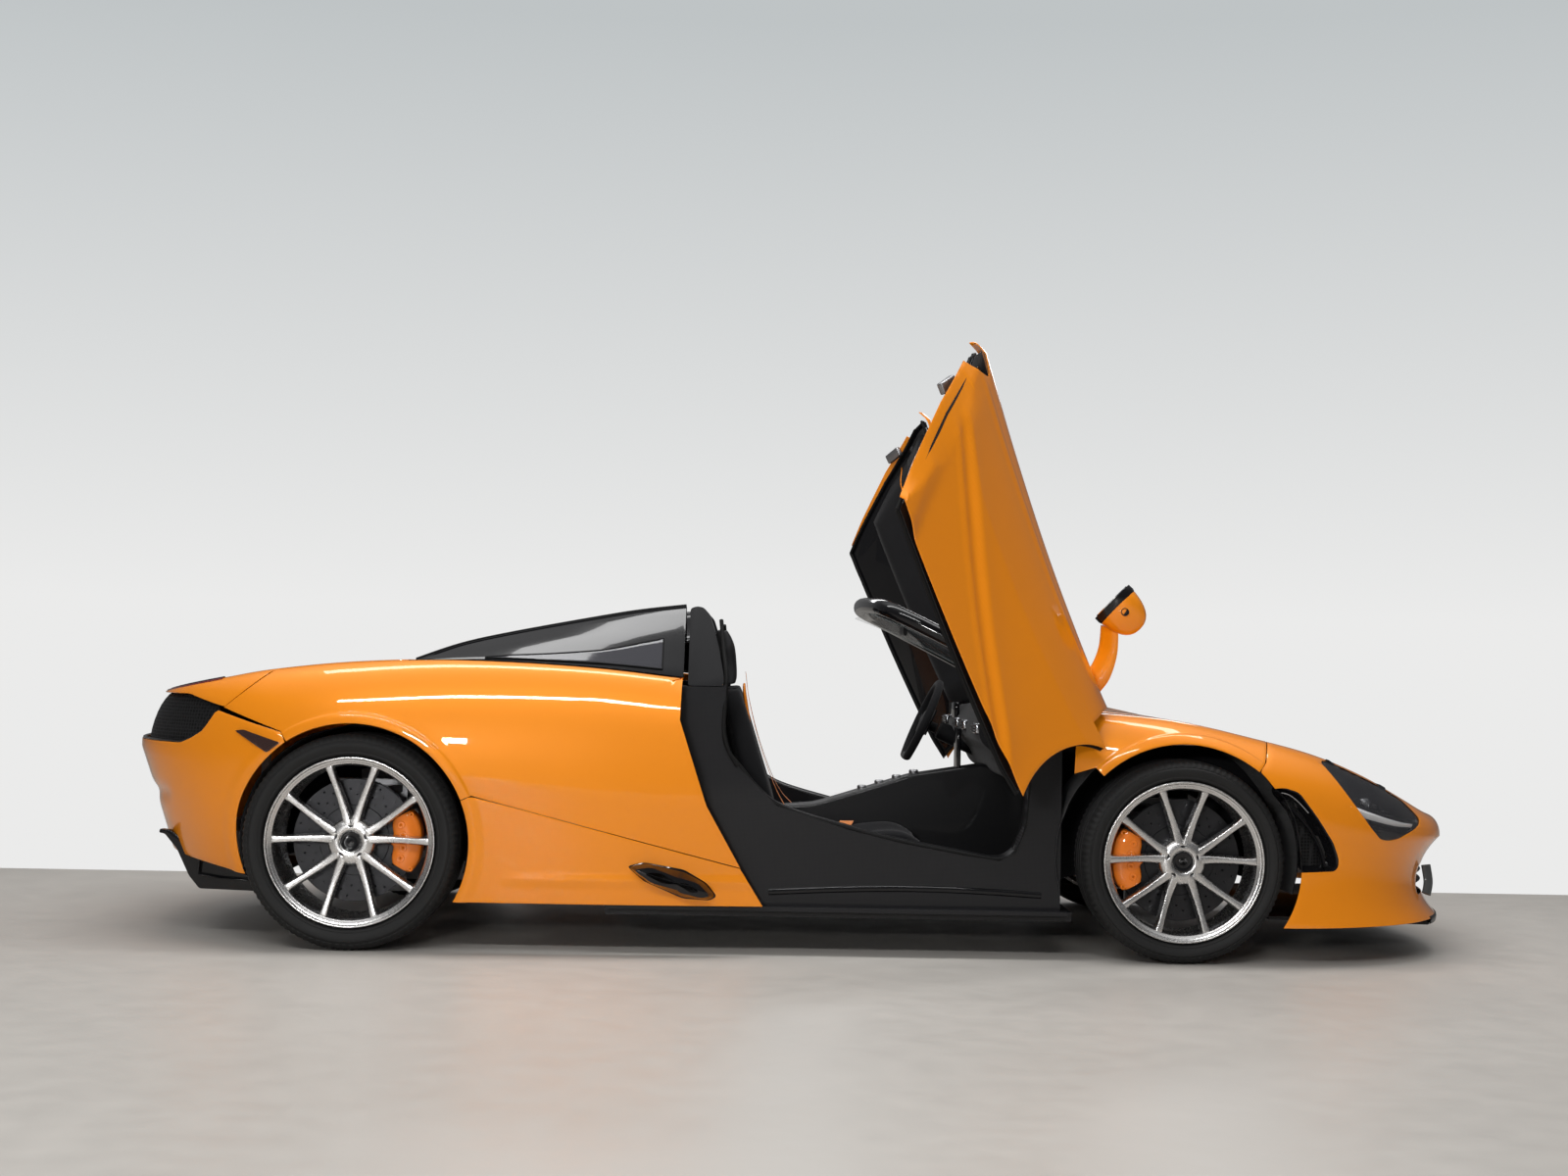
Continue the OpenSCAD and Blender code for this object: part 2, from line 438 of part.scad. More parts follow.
module quarter_glass() color([0.03, 0.03, 0.04]) both_sides() {
    rows = [for (i = [1.5:0.5:4.5]) let (a = BUTTRESS[floor(i)], b = BUTTRESS[ceil(i)], c = (a + b) / 2,
        p = [c[0], -c[1], c[2]], q = [c[0], -lerp(c[1], c[3], 0.5), lerp(c[2], c[4], 0.56)])
        [lerp(p, q, 0.12), lerp(p, q, 0.12 + 0.8 * (i - 1.2) / 3.3)]];
    slab([for (r = rows) [for (p = r) p + [0, -4, 2.5]]], [for (r = rows) [for (p = r) p + [0, -1.3, 0.9]]], 1);
}
module roll_hoops() color([0.05, 0.05, 0.06]) {
    both_sides() intersection() {
        side_plate(HOOP, 480, 800);
        translate([-400, 0, 0]) rotate([90, 0, 90]) linear_extrude(200)
            polygon([[-786, 855], [-590, 1130], [-492, 1130], [-492, 980], [-560, 855]]);
    }
    box([-366, -560, 940], [-300, 560, 985]);
}

// ---------------------------------------------------------------- structure
rail_z0 = 250;
rail_z1 = 330;
rail_y = [300, 360];
tower_y = 512;
splitter_z = 108;
splitter_t = 12;
tow_r = 8;
front_liner_r = front_arch_r - 11;
rear_liner_r = rear_arch_r - 11;
shelf_t = 8;
shelf_z = front_tyre_r + front_liner_r + eps + shelf_t;
// Right-hand door opening seen from the side, from the roof post round the sill to the front post
OPENING = [[-240, 870], [-246, 684], [-189, 594], [-68, 476], [177, 400], [344, 361], [542, 326], [662, 309],
    [717, 337], [751, 420], [762, 547], [772, 700], [790, 780]];
function door_pin() = [977, -828, 715];
DOOR_AXIS = [-0.442, 0.7413, 0.505];
pin_r = 9;

module tub() color([0.09, 0.09, 0.1]) {
    box([-620, -sill_half_w, floor_z], [900, sill_half_w, floor_top]);
    both_sides() side_plate(concat(OPENING, [[862, 780], [862, floor_top], [-620, floor_top], [-620, 860],
        [-366, 860], [-250, 860]]), cabin_half_w, sill_half_w);
    box([-620, -cabin_half_w, floor_top], [-590, cabin_half_w, 860]);
    box([862 - 20, -cabin_half_w, floor_top], [862, cabin_half_w, 780]);
    both_sides() box([-620, -850, 140], [880, -sill_half_w, 152]);
    both_sides() {
        box([862, -cabin_half_w - 112, 702], [985, -cabin_half_w + 20, 765]);
        translate(door_pin()) orient(DOOR_AXIS) translate([0, 0, -16]) cylinder(h = 80, r = pin_r);
    }
    box([862, -604, 760], [985, 604, 780]);
    for (k = [-1, 1]) {
        box([862, k * 440 - 30, 735], [BONNET_REAR_X + 19, k * 440 - 14, 752]);
        box([BONNET_REAR_X + 5, k * 440 - 30, 735], [BONNET_REAR_X + 19, k * 440 - 14, bonnet_pin_z + 5]);
        translate([bonnet_pin_x, k * 440, bonnet_pin_z]) rotate([90, 0, 0]) cylinder(h = 60, r = lid_pin_r, center = true);
    }
}
bonnet_pin_x = BONNET_REAR_X + 12;
bonnet_pin_z = 782;
// Turn +Z towards a direction
module orient(d) {
    u = unit(d);
    rotate([0, acos(u[2]), atan2(u[1], u[0])]) children();
}

module wheel_tower(cx, r) {
    difference() {
        box([cx - 120, -tower_y, 150], [cx + 120, -tower_y + 26, r + 180]);
        translate([cx, 0, r]) rotate([90, 0, 0]) cylinder(h = 900, r = 45);
    }
    box([cx - 50, -tower_y + 26, rail_z0], [cx + 50, -rail_y[1], rail_z1]);
}
module front_structure() color([0.3, 0.31, 0.33]) {
    both_sides() {
        box([862, -rail_y[1], rail_z0], [2100, -rail_y[0], rail_z1]);
        wheel_tower(front_axle_x, front_tyre_r);
        box([front_axle_x - 120, -tower_y, front_tyre_r + 180], [front_axle_x - 90, -tower_y + 26, shelf_z - shelf_t]);
        box([front_axle_x + 90, -tower_y, front_tyre_r + 180], [front_axle_x + 120, -tower_y + 26, shelf_z - shelf_t]);
        box([1060, -690, shelf_z - shelf_t], [1440, -430, shelf_z]);
    }
    box([2060, -480, rail_z0], [2100, 480, rail_z1]);
    for (x = [1000, 1560]) box([x, -rail_y[1], rail_z1], [x + 40, rail_y[1], rail_z1 + 5]);
    for (k = [-1, 1]) {
        box([1660, k * 560 - 60, shelf_z - 100], [1740, k * 560 + 60, shelf_z - 80 - eps]);
        box([1680, k * 330 - 30, rail_z1], [1720, k * 330 + 30, shelf_z - 100]);
        box([1660, min(k * 300, k * 500), shelf_z - 110], [1740, max(k * 300, k * 500), shelf_z - 100]);
    }
}
module luggage_tub() color([0.1, 0.1, 0.1]) difference() {
    box([900, -rail_y[0] + 10, rail_z1 + 5], [1640, rail_y[0] - 10, 650]);
    box([906, -rail_y[0] + 16, rail_z1 + 11], [1634, rail_y[0] - 16, 700]);
}
module rear_structure() color([0.3, 0.31, 0.33]) {
    both_sides() {
        box([-1960, -rail_y[1], rail_z0], [-620, -rail_y[0] - eps, rail_z1]);
        wheel_tower(rear_axle_x, rear_tyre_r);
    }
    box([-1990, -500, rail_z0], [-1960, 500, rail_z1 + 20]);
    for (k = [-1, 1]) box([-1990, k * 400 - 15, rail_z1], [-1960, k * 400 + 15, 715]);
    for (k = [-1, 1]) box([lid_pin_x - 8, k * 338 - 12, rail_z1], [lid_pin_x + 8, k * 338 + 12, lid_pin_z]);
    translate([lid_pin_x, 0, lid_pin_z]) rotate([90, 0, 0]) cylinder(h = 2 * 350, r = lid_pin_r, center = true);
}

PILLAR = [[950, 630, 788], [905, 640, 824], [780, 642, 890], [600, 630, 982], [440, 608, 1062], [345, 582, 1108],
    [300, 540, 1130], [275, 440, 1140], [255, 240, 1148], [250, 0, 1152]];
module windscreen_frame() color([0.05, 0.05, 0.06]) {
    n = len(PILLAR) - 1;
    sweep(concat([for (p = PILLAR) [p[0], -p[1], p[2]]], [for (i = [n - 1:-1:0]) PILLAR[i]]), 32, 22, 10);
    both_sides() box([908, -652, 765], [955, -612, 800]);
}
module windscreen() color([0.2, 0.24, 0.26, 0.35]) {
    rows = [for (f = [0:0.125:1]) let (x0 = lerp(978, 262, f), z0 = lerp(793.6, 1124, f) + 26 * sin(180 * f),
        w = lerp(592, 522, f), bow = lerp(60, 20, f)) [for (y = [-1:0.125:1.01])
        [x0 - bow * y * y, w * y, z0 - 8 * y * y]]];
    slab(rows, [for (r = rows) [for (p = r) p - [4, 0, 5]]], -1);
}

// ---------------------------------------------------------------- doors
// Gap ahead of the door's upper front edge, and how far the trim stands back from that edge
swing_gap = 18;
trim_front = 95;
module open_right() translate(door_pin()) rotate(a = door_angle, v = DOOR_AXIS) translate(-door_pin()) children();
function door_x(z, front) = front
    ? (z < 591 ? arch_x(front_axle_x, front_tyre_r, front_arch_r, z, -1) - shut
        : (z < 690 ? lerp(FENDER_REAR[0], 890, (z - 605) / 85) : lerp(890, FENDER_TOP_X, (z - 690) / 107)) - swing_gap)
    : z < 279 ? lerp(-102, -177, (z - 158) / 121) : z < 481 ? lerp(-177, -289, (z - 279) / 202)
    : z < 753 ? lerp(-289, -379, (z - 481) / 272) : lerp(-379, -367, (z - 753) / 130);
// Rows of the door by height: fraction of the way from sill to shoulder
DOOR_V = [0, 0.1, 0.2, 0.32, 0.44, 0.56, 0.64, 0.672, 0.676, 0.74, 0.8, 0.86, 0.92, 0.965, 1];
function door_grid(m, top, low, n, front) = [for (v = DOOR_V) if (v <= top && v >= low) [for (u = steps(n))
    let (zr = lerp(162, 878, v), zf = lerp(162, 798, v), xr = door_x(zr, false) + m, xf = door_x(zf, true) - front,
        x = lerp(xr, xf, u), s = s_at(x), r = row(s), z = lerp(162, r[CREST_Z], v)) side(s, min(t_at(s, z), 2))]];
module right_door_closed() shell(door_grid(0, 1, 0, 18, 0), skin_t, -1);
module door_trim_closed() {
    g = door_grid(34, 0.93, 0.2, 14, trim_front);
    slab(offset_grid(g, skin_t + 1.2), offset_grid(g, skin_t + trim_t), -1);
    sweep([[780, -818, 690], [812, -820, 686], [900, -782, 676], [938, -762, 678], [955, -787, 693], [966, -810, 705]], 8, 8, 8);
    difference() {
        translate(door_pin()) orient(DOOR_AXIS) translate([0, 0, -14]) cylinder(h = 28, r = 22);
        translate(door_pin()) orient(DOOR_AXIS) translate([0, 0, -20]) cylinder(h = 40, r = pin_r + 0.05);
    }
}
module right_door() color("orange") open_right() right_door_closed();
module left_door() color("orange") mirror([0, 1, 0]) open_right() right_door_closed();
module right_door_trim() color([0.08, 0.08, 0.09]) open_right() door_trim_closed();
module left_door_trim() color([0.08, 0.08, 0.09]) mirror([0, 1, 0]) open_right() door_trim_closed();
module mirror_closed() difference() {
    union() {
    sweep([[815, -812, 788], [790, -850, 830], [735, -885, 868], [690, -905, 890]], 20, 12, 8);
    translate([630, -955, 912]) rotate([-20, 0, 12]) hull() {
        rotate([90, 0, 0]) cylinder(h = 150, r = 48, center = true, $fn = 24);
        translate([55, 0, 0]) rotate([90, 0, 0]) cylinder(h = 110, r = 24, center = true, $fn = 24);
    }
    }
    box([700, -860, 700], [900, -760, 800]);
}
module right_mirror() color("orange") open_right() mirror_closed();
module left_mirror() color("orange") mirror([0, 1, 0]) open_right() mirror_closed();

// ---------------------------------------------------------------- front and rear lamps
module headlights() color([0.05, 0.05, 0.06]) both_sides() {
    s0 = s_at(1640);
    g = [for (u = steps(14)) [for (v = steps(8)) side(lerp(s0, 20.6, u), lerp(0.6, 1.97, v))]];
    intersection() {
        slab(offset_grid(g, -skin_t - 2), offset_grid(g, -skin_t - 24), 1);
        side_plate([for (p = LAMP) [lerp(1900, p[0], 1.05), lerp(530, p[1], 1.05)]], 250, 1100);
    }
}

// ---------------------------------------------------------------- cabin
module dashboard() color([0.07, 0.07, 0.08]) {
    side_plate_mid([[842 - eps, 600], [842 - eps, 800], [760, 812], [640, 790], [590, 740], [600, 690], [660, 640],
        [700, 560], [842 - eps, 520]], -cabin_half_w + 2, cabin_half_w - 2);
    side_plate_mid([[-560, floor_top], [-560, 330], [-300, 420], [80, 450], [420, 560], [700, 600], [842 - eps, 540],
        [842 - eps, floor_top]], -75, 75);
    on_column() translate([0, 0, -220]) cylinder(h = 220 - wheel_stub - eps, r = 26);
}
// Frame of the steering column: origin at the wheel's middle, +Z towards the driver
COLUMN = [-0.91, 0, 0.41];
module on_column() translate([WHEEL_POS[0], seat_y, WHEEL_POS[1]]) orient(COLUMN) children();
WHEEL_POS = [491, 727];
module steering_wheel() color([0.06, 0.06, 0.07]) on_column() {
    rotate_extrude($fn = 48) translate([wheel_d / 2 - 15, 0]) circle(r = 15, $fn = 20);
    for (a = [0, 180, 270]) rotate([0, 0, a + 0]) translate([20, -13, -9]) cube([wheel_d / 2 - 38, 26, 16]);
    translate([0, 0, -30]) cylinder(h = 34, r = 48);
    translate([0, 0, -wheel_stub]) cylinder(h = wheel_stub, r = 18);
}
wheel_stub = 64;
SEAT = [[-130, 160], [-150, 330], [-235, 560], [-275, 800], [-290, 900], [-275, 1058], [-235, 1066], [-205, 1000], [-190, 880],
    [-150, 700], [-90, 480], [-30, 345], [80, 310], [300, 350], [400, 352], [430, 320], [380, 200], [340, 150]];
// Line of the padding's face up the middle of a seat
SEAT_FACE = [[-192, 884], [-190, 800], [-160, 640], [-100, 480], [-60, 420], [-10, 355], [80, 325]];
module seat() translate([0, -seat_y, 0]) {
    difference() {
        side_plate_mid(SEAT, -seat_w / 2, seat_w / 2);
        for (k = [-1, 1]) translate([0, k * seat_w / 2, 830]) rotate([0, 0, 0]) box([-400, -140, 0], [-60, 140, 400]);
        side_plate_mid(concat(SEAT_FACE, [[300, 362], [450, 380], [450, 700], [0, 884]]), -155, 155);
    }
    box([-150, -180, floor_top + eps], [360, -150, 160]);
    box([-150, 150, floor_top + eps], [360, 180, 160]);
}
module seats() color([0.08, 0.08, 0.09]) both_sides() seat();
module seat_belts() color("orangered") both_sides() translate([0, -seat_y, 0])
    side_plate_mid(concat([for (p = SEAT_FACE) p + [1.8, 1.4]], [for (i = [6:-1:0]) SEAT_FACE[i] + [4.3, 3.5]]), 47, 95);

// ---------------------------------------------------------------- running gear
module engine() color([0.35, 0.35, 0.37]) box([-1500, -rail_y[0], 170], [-650, rail_y[0], 650]);
module liner(cx, cz, r, y1, a0, a1, band) {
    side_plate(concat([for (a = [90 - band:10:90 + band]) [cx + r * cos(a), cz + r * sin(a)]],
        [for (a = [90 + band:-10:90 - band]) [cx + (r - 4) * cos(a), cz + (r - 4) * sin(a)]]), tower_y + 2, y1);
    difference() {
        side_plate([for (a = [a0:10:a1]) [cx + r * cos(a), cz + r * sin(a)]], tower_y + 2, tower_y + 6);
        side_plate([[cx - 122, 100], [cx + 122, 100], [cx + 122, cz + 185], [cx - 122, cz + 185]], tower_y - 10, tower_y + 20);
    }
}
module wheel_liners() color([0.05, 0.05, 0.05]) both_sides() {
    liner(front_axle_x, front_tyre_r, front_liner_r, 900, -20, 200, 20);
    liner(rear_axle_x, rear_tyre_r, rear_liner_r, 800, -20, 200, 110);
}

kingpin_y = 735;
hub_y = 834;
ball_z = 137;
arm_t = 24;
knuckle_y = [700, 780];
stub_r = 35;
ball_r = 12;
run = 0.05;
module arm_pair(cx, cz) {
    for (k = [-1, 1]) translate([cx, 0, cz + k * (ball_z + arm_t / 2)]) {
        linear_extrude(arm_t, center = true) difference() {
            polygon([[-104, -tower_y - 0], [-30, -kingpin_y - 26], [30, -kingpin_y - 26], [104, -tower_y]]);
            polygon([[-62, -tower_y - 12], [-16, -kingpin_y + 50], [16, -kingpin_y + 50], [62, -tower_y - 12]]);
        }
        translate([0, -kingpin_y, -k * arm_t / 2]) mirror([0, 0, k > 0 ? 1 : 0]) cylinder(h = 30, r = ball_r);
    }
}
module suspension_arms() color([0.4, 0.41, 0.43]) both_sides() {
    arm_pair(front_axle_x, front_tyre_r);
    arm_pair(rear_axle_x, rear_tyre_r);
}
// way: side of the axle that carries the caliper, -1 behind and 1 ahead
module knuckle(cx, cz, way) translate([cx, 0, cz]) difference() {
    union() {
        box([-50, -knuckle_y[1], -100], [50, -knuckle_y[0], 100]);
        for (k = [-1, 1]) box([-28, -knuckle_y[1] + 12, min(k * 100, k * (ball_z - 0.3))],
            [28, -knuckle_y[0] - 6, max(k * 100, k * (ball_z - 0.3))]);
        box([way > 0 ? 50 : -150, -764, -45], [way > 0 ? 150 : -50, -740, 45]);
    }
    rotate([90, 0, 0]) cylinder(h = 900, r = stub_r + run);
    for (k = [-1, 1]) translate([0, -kingpin_y, k * (ball_z - 15)]) cylinder(h = 34, r = ball_r + run, center = true);
}
module right_knuckle() color("silver") knuckle(front_axle_x, front_tyre_r, -1);
module left_knuckle() color("silver") mirror([0, 1, 0]) right_knuckle();
module rear_knuckles() color("silver") both_sides() {
    knuckle(rear_axle_x, rear_tyre_r, 1);
    translate([rear_axle_x, -rail_y[0] - eps, rear_tyre_r]) rotate([90, 0, 0]) cylinder(h = 704 - rail_y[0] - 1, r = 15);
}
module caliper(cx, cz, way) translate([cx, 0, cz]) rotate([90, 0, 0]) {
    difference() {
        translate([0, 0, 764 + eps]) linear_extrude(875 - 764 - eps) intersection() {
            difference() {
                circle(r = disc_r + 25);
                circle(r = 128);
            }
            polygon([[0, 0], [way * 300, -170], [way * 300, 170]]);
        }
        translate([0, 0, hub_y - disc_t - 5]) cylinder(h = disc_t + 10, r = disc_r + 6);
    }
}
module right_front_caliper() color("darkorange") caliper(front_axle_x, front_tyre_r, -1);
module left_front_caliper() color("darkorange") mirror([0, 1, 0]) right_front_caliper();
module rear_calipers() color("darkorange") both_sides() caliper(rear_axle_x, rear_tyre_r, 1);

module disc(cx, cz) color([0.25, 0.25, 0.26]) translate([cx, -hub_y, cz]) rotate([-90, 0, 0]) {
    difference() {
        rotate_extrude() polygon([[0, 0], [90, 0], [disc_r, 0], [disc_r, disc_t], [112, disc_t], [108, 14], [75, 14],
            [75, hub_y - knuckle_y[1] - 2], [stub_r, hub_y - knuckle_y[1] - 2], [stub_r, hub_y - 704], [0, hub_y - 704]]);
        bolts(5.6, 16);
    }
}
bolt_pcd = 112;
module bolts(r, depth) for (i = [0:4]) rotate([0, 0, 72 * i]) translate([bolt_pcd / 2, 0, -1]) cylinder(h = depth, r = r);
module right_front_disc() disc(front_axle_x, front_tyre_r);
module left_front_disc() mirror([0, 1, 0]) disc(front_axle_x, front_tyre_r);
module right_rear_disc() disc(rear_axle_x, rear_tyre_r);
module left_rear_disc() mirror([0, 1, 0]) disc(rear_axle_x, rear_tyre_r);

// Rim seen from outside; y0 is its middle plane, w its width over the lips
module rim(cx, cz, y0, w, lip) color("silver") translate([cx, -y0, cz]) rotate([90, 0, 0]) {
    h = w / 2;
    hub_in = hub_y - y0;
    rotate_extrude() polygon([[lip - 12, -h], [lip, -h], [lip, -h + 8], [lip - 18, -h + 14], [lip - 18, -h + 40],
        [lip - 23, -h + 60], [lip - 23, h - 50], [lip - 18, h - 34], [lip - 18, h - 14], [lip, h - 8], [lip, h],
        [lip - 10, h - 2], [lip - 24, h - 16], [lip - 29, h - 44], [lip - 29, -h + 56], [lip - 24, -h + 32]]);
    difference() {
        translate([0, 0, hub_in + 0]) cylinder(h = h - 22 - hub_in, r = 76);
        bolts_at(hub_in, 9);
        translate([0, 0, h - 40]) cylinder(h = 40, r = 30);
    }
    translate([0, 0, h - 34]) for (i = [0:spoke_pairs - 1]) rotate([0, 0, 90 + 360 * i / spoke_pairs])
        for (k = [-1, 1]) rotate([0, 0, k * 18]) linear_extrude(14)
            polygon([[lip - 21, -9], [lip - 21, 9], [66, k > 0 ? 6 : 26], [66, k > 0 ? -26 : -6]]);
}
module bolts_at(z, r) translate([0, 0, z]) bolts(r, 200);
module tyre(cx, cz, y0, r, w, lip, rim_w) color([0.06, 0.06, 0.06]) translate([cx, -y0, cz]) rotate([90, 0, 0]) {
    h = w / 2;
    b = rim_w / 2 - 14 - eps;
    i = lip - 18 + eps;
    rotate_extrude($fn = 96) polygon([[i, -b], [lip + 2, -b + 2], [lip + 16, -h + 5], [lerp(lip, r, 0.5), -h], [r - 22, -h + 5],
        [r - 6, -h + 18], [r, -h + 38], [r, h - 38], [r - 6, h - 18], [r - 22, h - 5], [lerp(lip, r, 0.5), h],
        [lip + 16, h - 5], [lip + 2, b - 2], [i, b]]);
}
front_rim_w = 230;
rear_rim_w = 280;
module right_front_rim() rim(front_axle_x, front_tyre_r, front_half_track, front_rim_w, front_lip_r);
module left_front_rim() mirror([0, 1, 0]) right_front_rim();
module right_rear_rim() rim(rear_axle_x, rear_tyre_r, rear_half_track, rear_rim_w, rear_lip_r);
module left_rear_rim() mirror([0, 1, 0]) right_rear_rim();
module right_front_tyre() tyre(front_axle_x, front_tyre_r, front_half_track, front_tyre_r, front_tyre_w, front_lip_r, front_rim_w);
module left_front_tyre() mirror([0, 1, 0]) right_front_tyre();
module right_rear_tyre() tyre(rear_axle_x, rear_tyre_r, rear_half_track, rear_tyre_r, rear_tyre_w, rear_lip_r, rear_rim_w);
module left_rear_tyre() mirror([0, 1, 0]) right_rear_tyre();

module bonnet_hinge(k) difference() {
    box([BONNET_REAR_X + 2, k * 440 - 11, 772], [BONNET_REAR_X + 22, k * 440 + 11, 802]);
    translate([bonnet_pin_x, k * 440, bonnet_pin_z]) rotate([90, 0, 0]) cylinder(h = 60, r = lid_pin_r + run, center = true);
}

// ---------------------------------------------------------------- drawing
tub();
luggage_tub();
front_structure();
rear_structure();
windscreen_frame();
windscreen();
front_bumper();
splitter();
bonnet();
front_fenders();
rear_quarters();
side_skirts();
rear_bumper();
diffuser();
tail_lights();
rear_deck();
rear_wing();
tonneau();
quarter_glass();
roll_hoops();
headlights();
right_door();
right_door_trim();
left_door();
left_door_trim();
right_mirror();
left_mirror();
dashboard();
steering_wheel();
seats();
seat_belts();
engine();
wheel_liners();
suspension_arms();
right_knuckle();
left_knuckle();
rear_knuckles();
right_front_caliper();
left_front_caliper();
rear_calipers();
right_front_disc();
left_front_disc();
right_rear_disc();
left_rear_disc();
right_front_rim();
left_front_rim();
right_rear_rim();
left_rear_rim();
right_front_tyre();
left_front_tyre();
right_rear_tyre();
left_rear_tyre();
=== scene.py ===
"""Looks of an open-top supercar with raised dihedral doors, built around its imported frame."""

from __future__ import annotations

import logging
import math
from dataclasses import dataclass, field
from enum import Enum
from typing import Callable, Iterable, Sequence

import bpy
import numpy as np
from mathutils import Matrix, Vector


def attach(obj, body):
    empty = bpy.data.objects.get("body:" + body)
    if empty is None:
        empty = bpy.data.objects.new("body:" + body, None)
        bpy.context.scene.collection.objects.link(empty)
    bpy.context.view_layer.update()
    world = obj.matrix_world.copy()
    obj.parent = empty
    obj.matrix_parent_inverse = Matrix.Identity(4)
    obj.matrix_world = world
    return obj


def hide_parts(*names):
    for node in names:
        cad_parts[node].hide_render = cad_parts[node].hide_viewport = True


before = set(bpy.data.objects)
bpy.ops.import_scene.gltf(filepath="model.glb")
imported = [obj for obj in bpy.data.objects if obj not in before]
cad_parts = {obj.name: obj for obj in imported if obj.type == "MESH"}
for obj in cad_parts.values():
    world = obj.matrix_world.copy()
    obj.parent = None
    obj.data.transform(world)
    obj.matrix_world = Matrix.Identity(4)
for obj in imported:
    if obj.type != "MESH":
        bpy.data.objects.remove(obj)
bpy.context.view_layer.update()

log = logging.getLogger("supercar")

Point = Sequence[float]
Rows = list[list[Point]]
Outline = Sequence[Sequence[float]]

MM = 0.001
MERGE = 2e-5
BOTH = ("body", "body")


class Side(Enum):
    """Side of the car, with the sign of its Y."""

    RIGHT = -1
    LEFT = 1

    @property
    def word(self) -> str:
        """The side as it stands in names."""
        return self.name.lower()


class Axis(Enum):
    """Axis along which an outline is pushed out."""

    X = 0
    Y = 1
    Z = 2


# ------------------------------------------------------------------ shading
class Sock:
    """A socket of a node tree, on which arithmetic adds Math nodes."""

    def __init__(self, tree: bpy.types.NodeTree, socket: bpy.types.NodeSocket) -> None:
        """Wraps an output socket of the tree."""
        self.tree, self.socket = tree, socket

    def _math(self, operation: str, *values: "Sock | float") -> "Sock":
        """Adds a Math node.

        Args:
            operation: the node's operation.
            values: its inputs in order, as sockets or numbers.

        Returns:
            The node's output.
        """
        node = self.tree.nodes.new("ShaderNodeMath")
        node.operation = operation
        for entry, value in zip(node.inputs, values):
            if isinstance(value, Sock):
                self.tree.links.new(value.socket, entry)
            else:
                entry.default_value = value
        return Sock(self.tree, node.outputs[0])

    def __add__(self, other: "Sock | float") -> "Sock":
        """Sum."""
        return self._math("ADD", self, other)

    __radd__ = __add__

    def __sub__(self, other: "Sock | float") -> "Sock":
        """Difference."""
        return self._math("SUBTRACT", self, other)

    def __rsub__(self, other: float) -> "Sock":
        """Difference from a number."""
        return self._math("SUBTRACT", other, self)

    def __mul__(self, other: "Sock | float") -> "Sock":
        """Product."""
        return self._math("MULTIPLY", self, other)

    __rmul__ = __mul__

    def sine(self) -> "Sock":
        """Sine in radians."""
        return self._math("SINE", self)

    def above(self, limit: float) -> "Sock":
        """1 where the value is over the limit, else 0."""
        return self._math("GREATER_THAN", self, limit)


class Shader:
    """A material under construction, with its Principled shader."""

    def __init__(self, name: str) -> None:
        """Starts a node material of that name."""
        self.material = bpy.data.materials.new(name)
        self.material.use_nodes = True
        self.tree = self.material.node_tree
        self.bsdf = next(n for n in self.tree.nodes if n.type == "BSDF_PRINCIPLED")

    def node(self, kind: str, settings: dict | None = None, inputs: dict | None = None,
             output: int | str = 0) -> Sock:
        """Adds a node.

        Args:
            kind: the node's type without the ShaderNode prefix.
            settings: its own properties.
            inputs: values or sockets for its inputs, by name or number.
            output: the output to hand back.

        Returns:
            That output.
        """
        node = self.tree.nodes.new("ShaderNode" + kind)
        for key, value in (settings or {}).items():
            setattr(node, key, value)
        for key, value in (inputs or {}).items():
            if isinstance(value, Sock):
                self.tree.links.new(value.socket, node.inputs[key])
            else:
                node.inputs[key].default_value = value
        return Sock(self.tree, node.outputs[output])

    def set(self, **sockets: object) -> None:
        """Sets or links Principled inputs; an underscore stands for a space."""
        for key, value in sockets.items():
            entry = self.bsdf.inputs[key.replace("_", " ")]
            if isinstance(value, Sock):
                self.tree.links.new(value.socket, entry)
            else:
                entry.default_value = value

    def place(self, centre: Point = (0, 0, 0), scale: Point = (1, 1, 1)) -> Sock:
        """Object coordinates about a centre, stretched by a scale."""
        shift = [-c * s for c, s in zip(centre, scale)]
        where = self.node("TexCoord", output="Object")
        return self.node("Mapping", inputs={"Vector": where, "Location": shift, "Scale": scale})

    def axes(self) -> list[Sock]:
        """Object coordinates along X, Y and Z."""
        split = self.node("SeparateXYZ", inputs={0: self.place()}).socket.node
        return [Sock(self.tree, entry) for entry in split.outputs]

    def noise(self, scale: float, detail: float = 3, where: Sock | None = None) -> Sock:
        """Noise from 0 to 1 on object coordinates."""
        return self.node("TexNoise", inputs={"Vector": where or self.place(), "Scale": scale, "Detail": detail})

    def tint(self, low: Point, high: Point, mask: Sock) -> Sock:
        """Colour that goes from one to the other with a mask."""
        return self.node("Mix", {"data_type": "RGBA"}, {0: mask, 6: (*low, 1), 7: (*high, 1)}, 2)

    def bump(self, height: Sock, depth: float, strength: float = 1) -> None:
        """Puts a relief of that depth in metres on the normal."""
        self.set(Normal=self.node("Bump", inputs={"Height": height, "Distance": depth, "Strength": strength}))


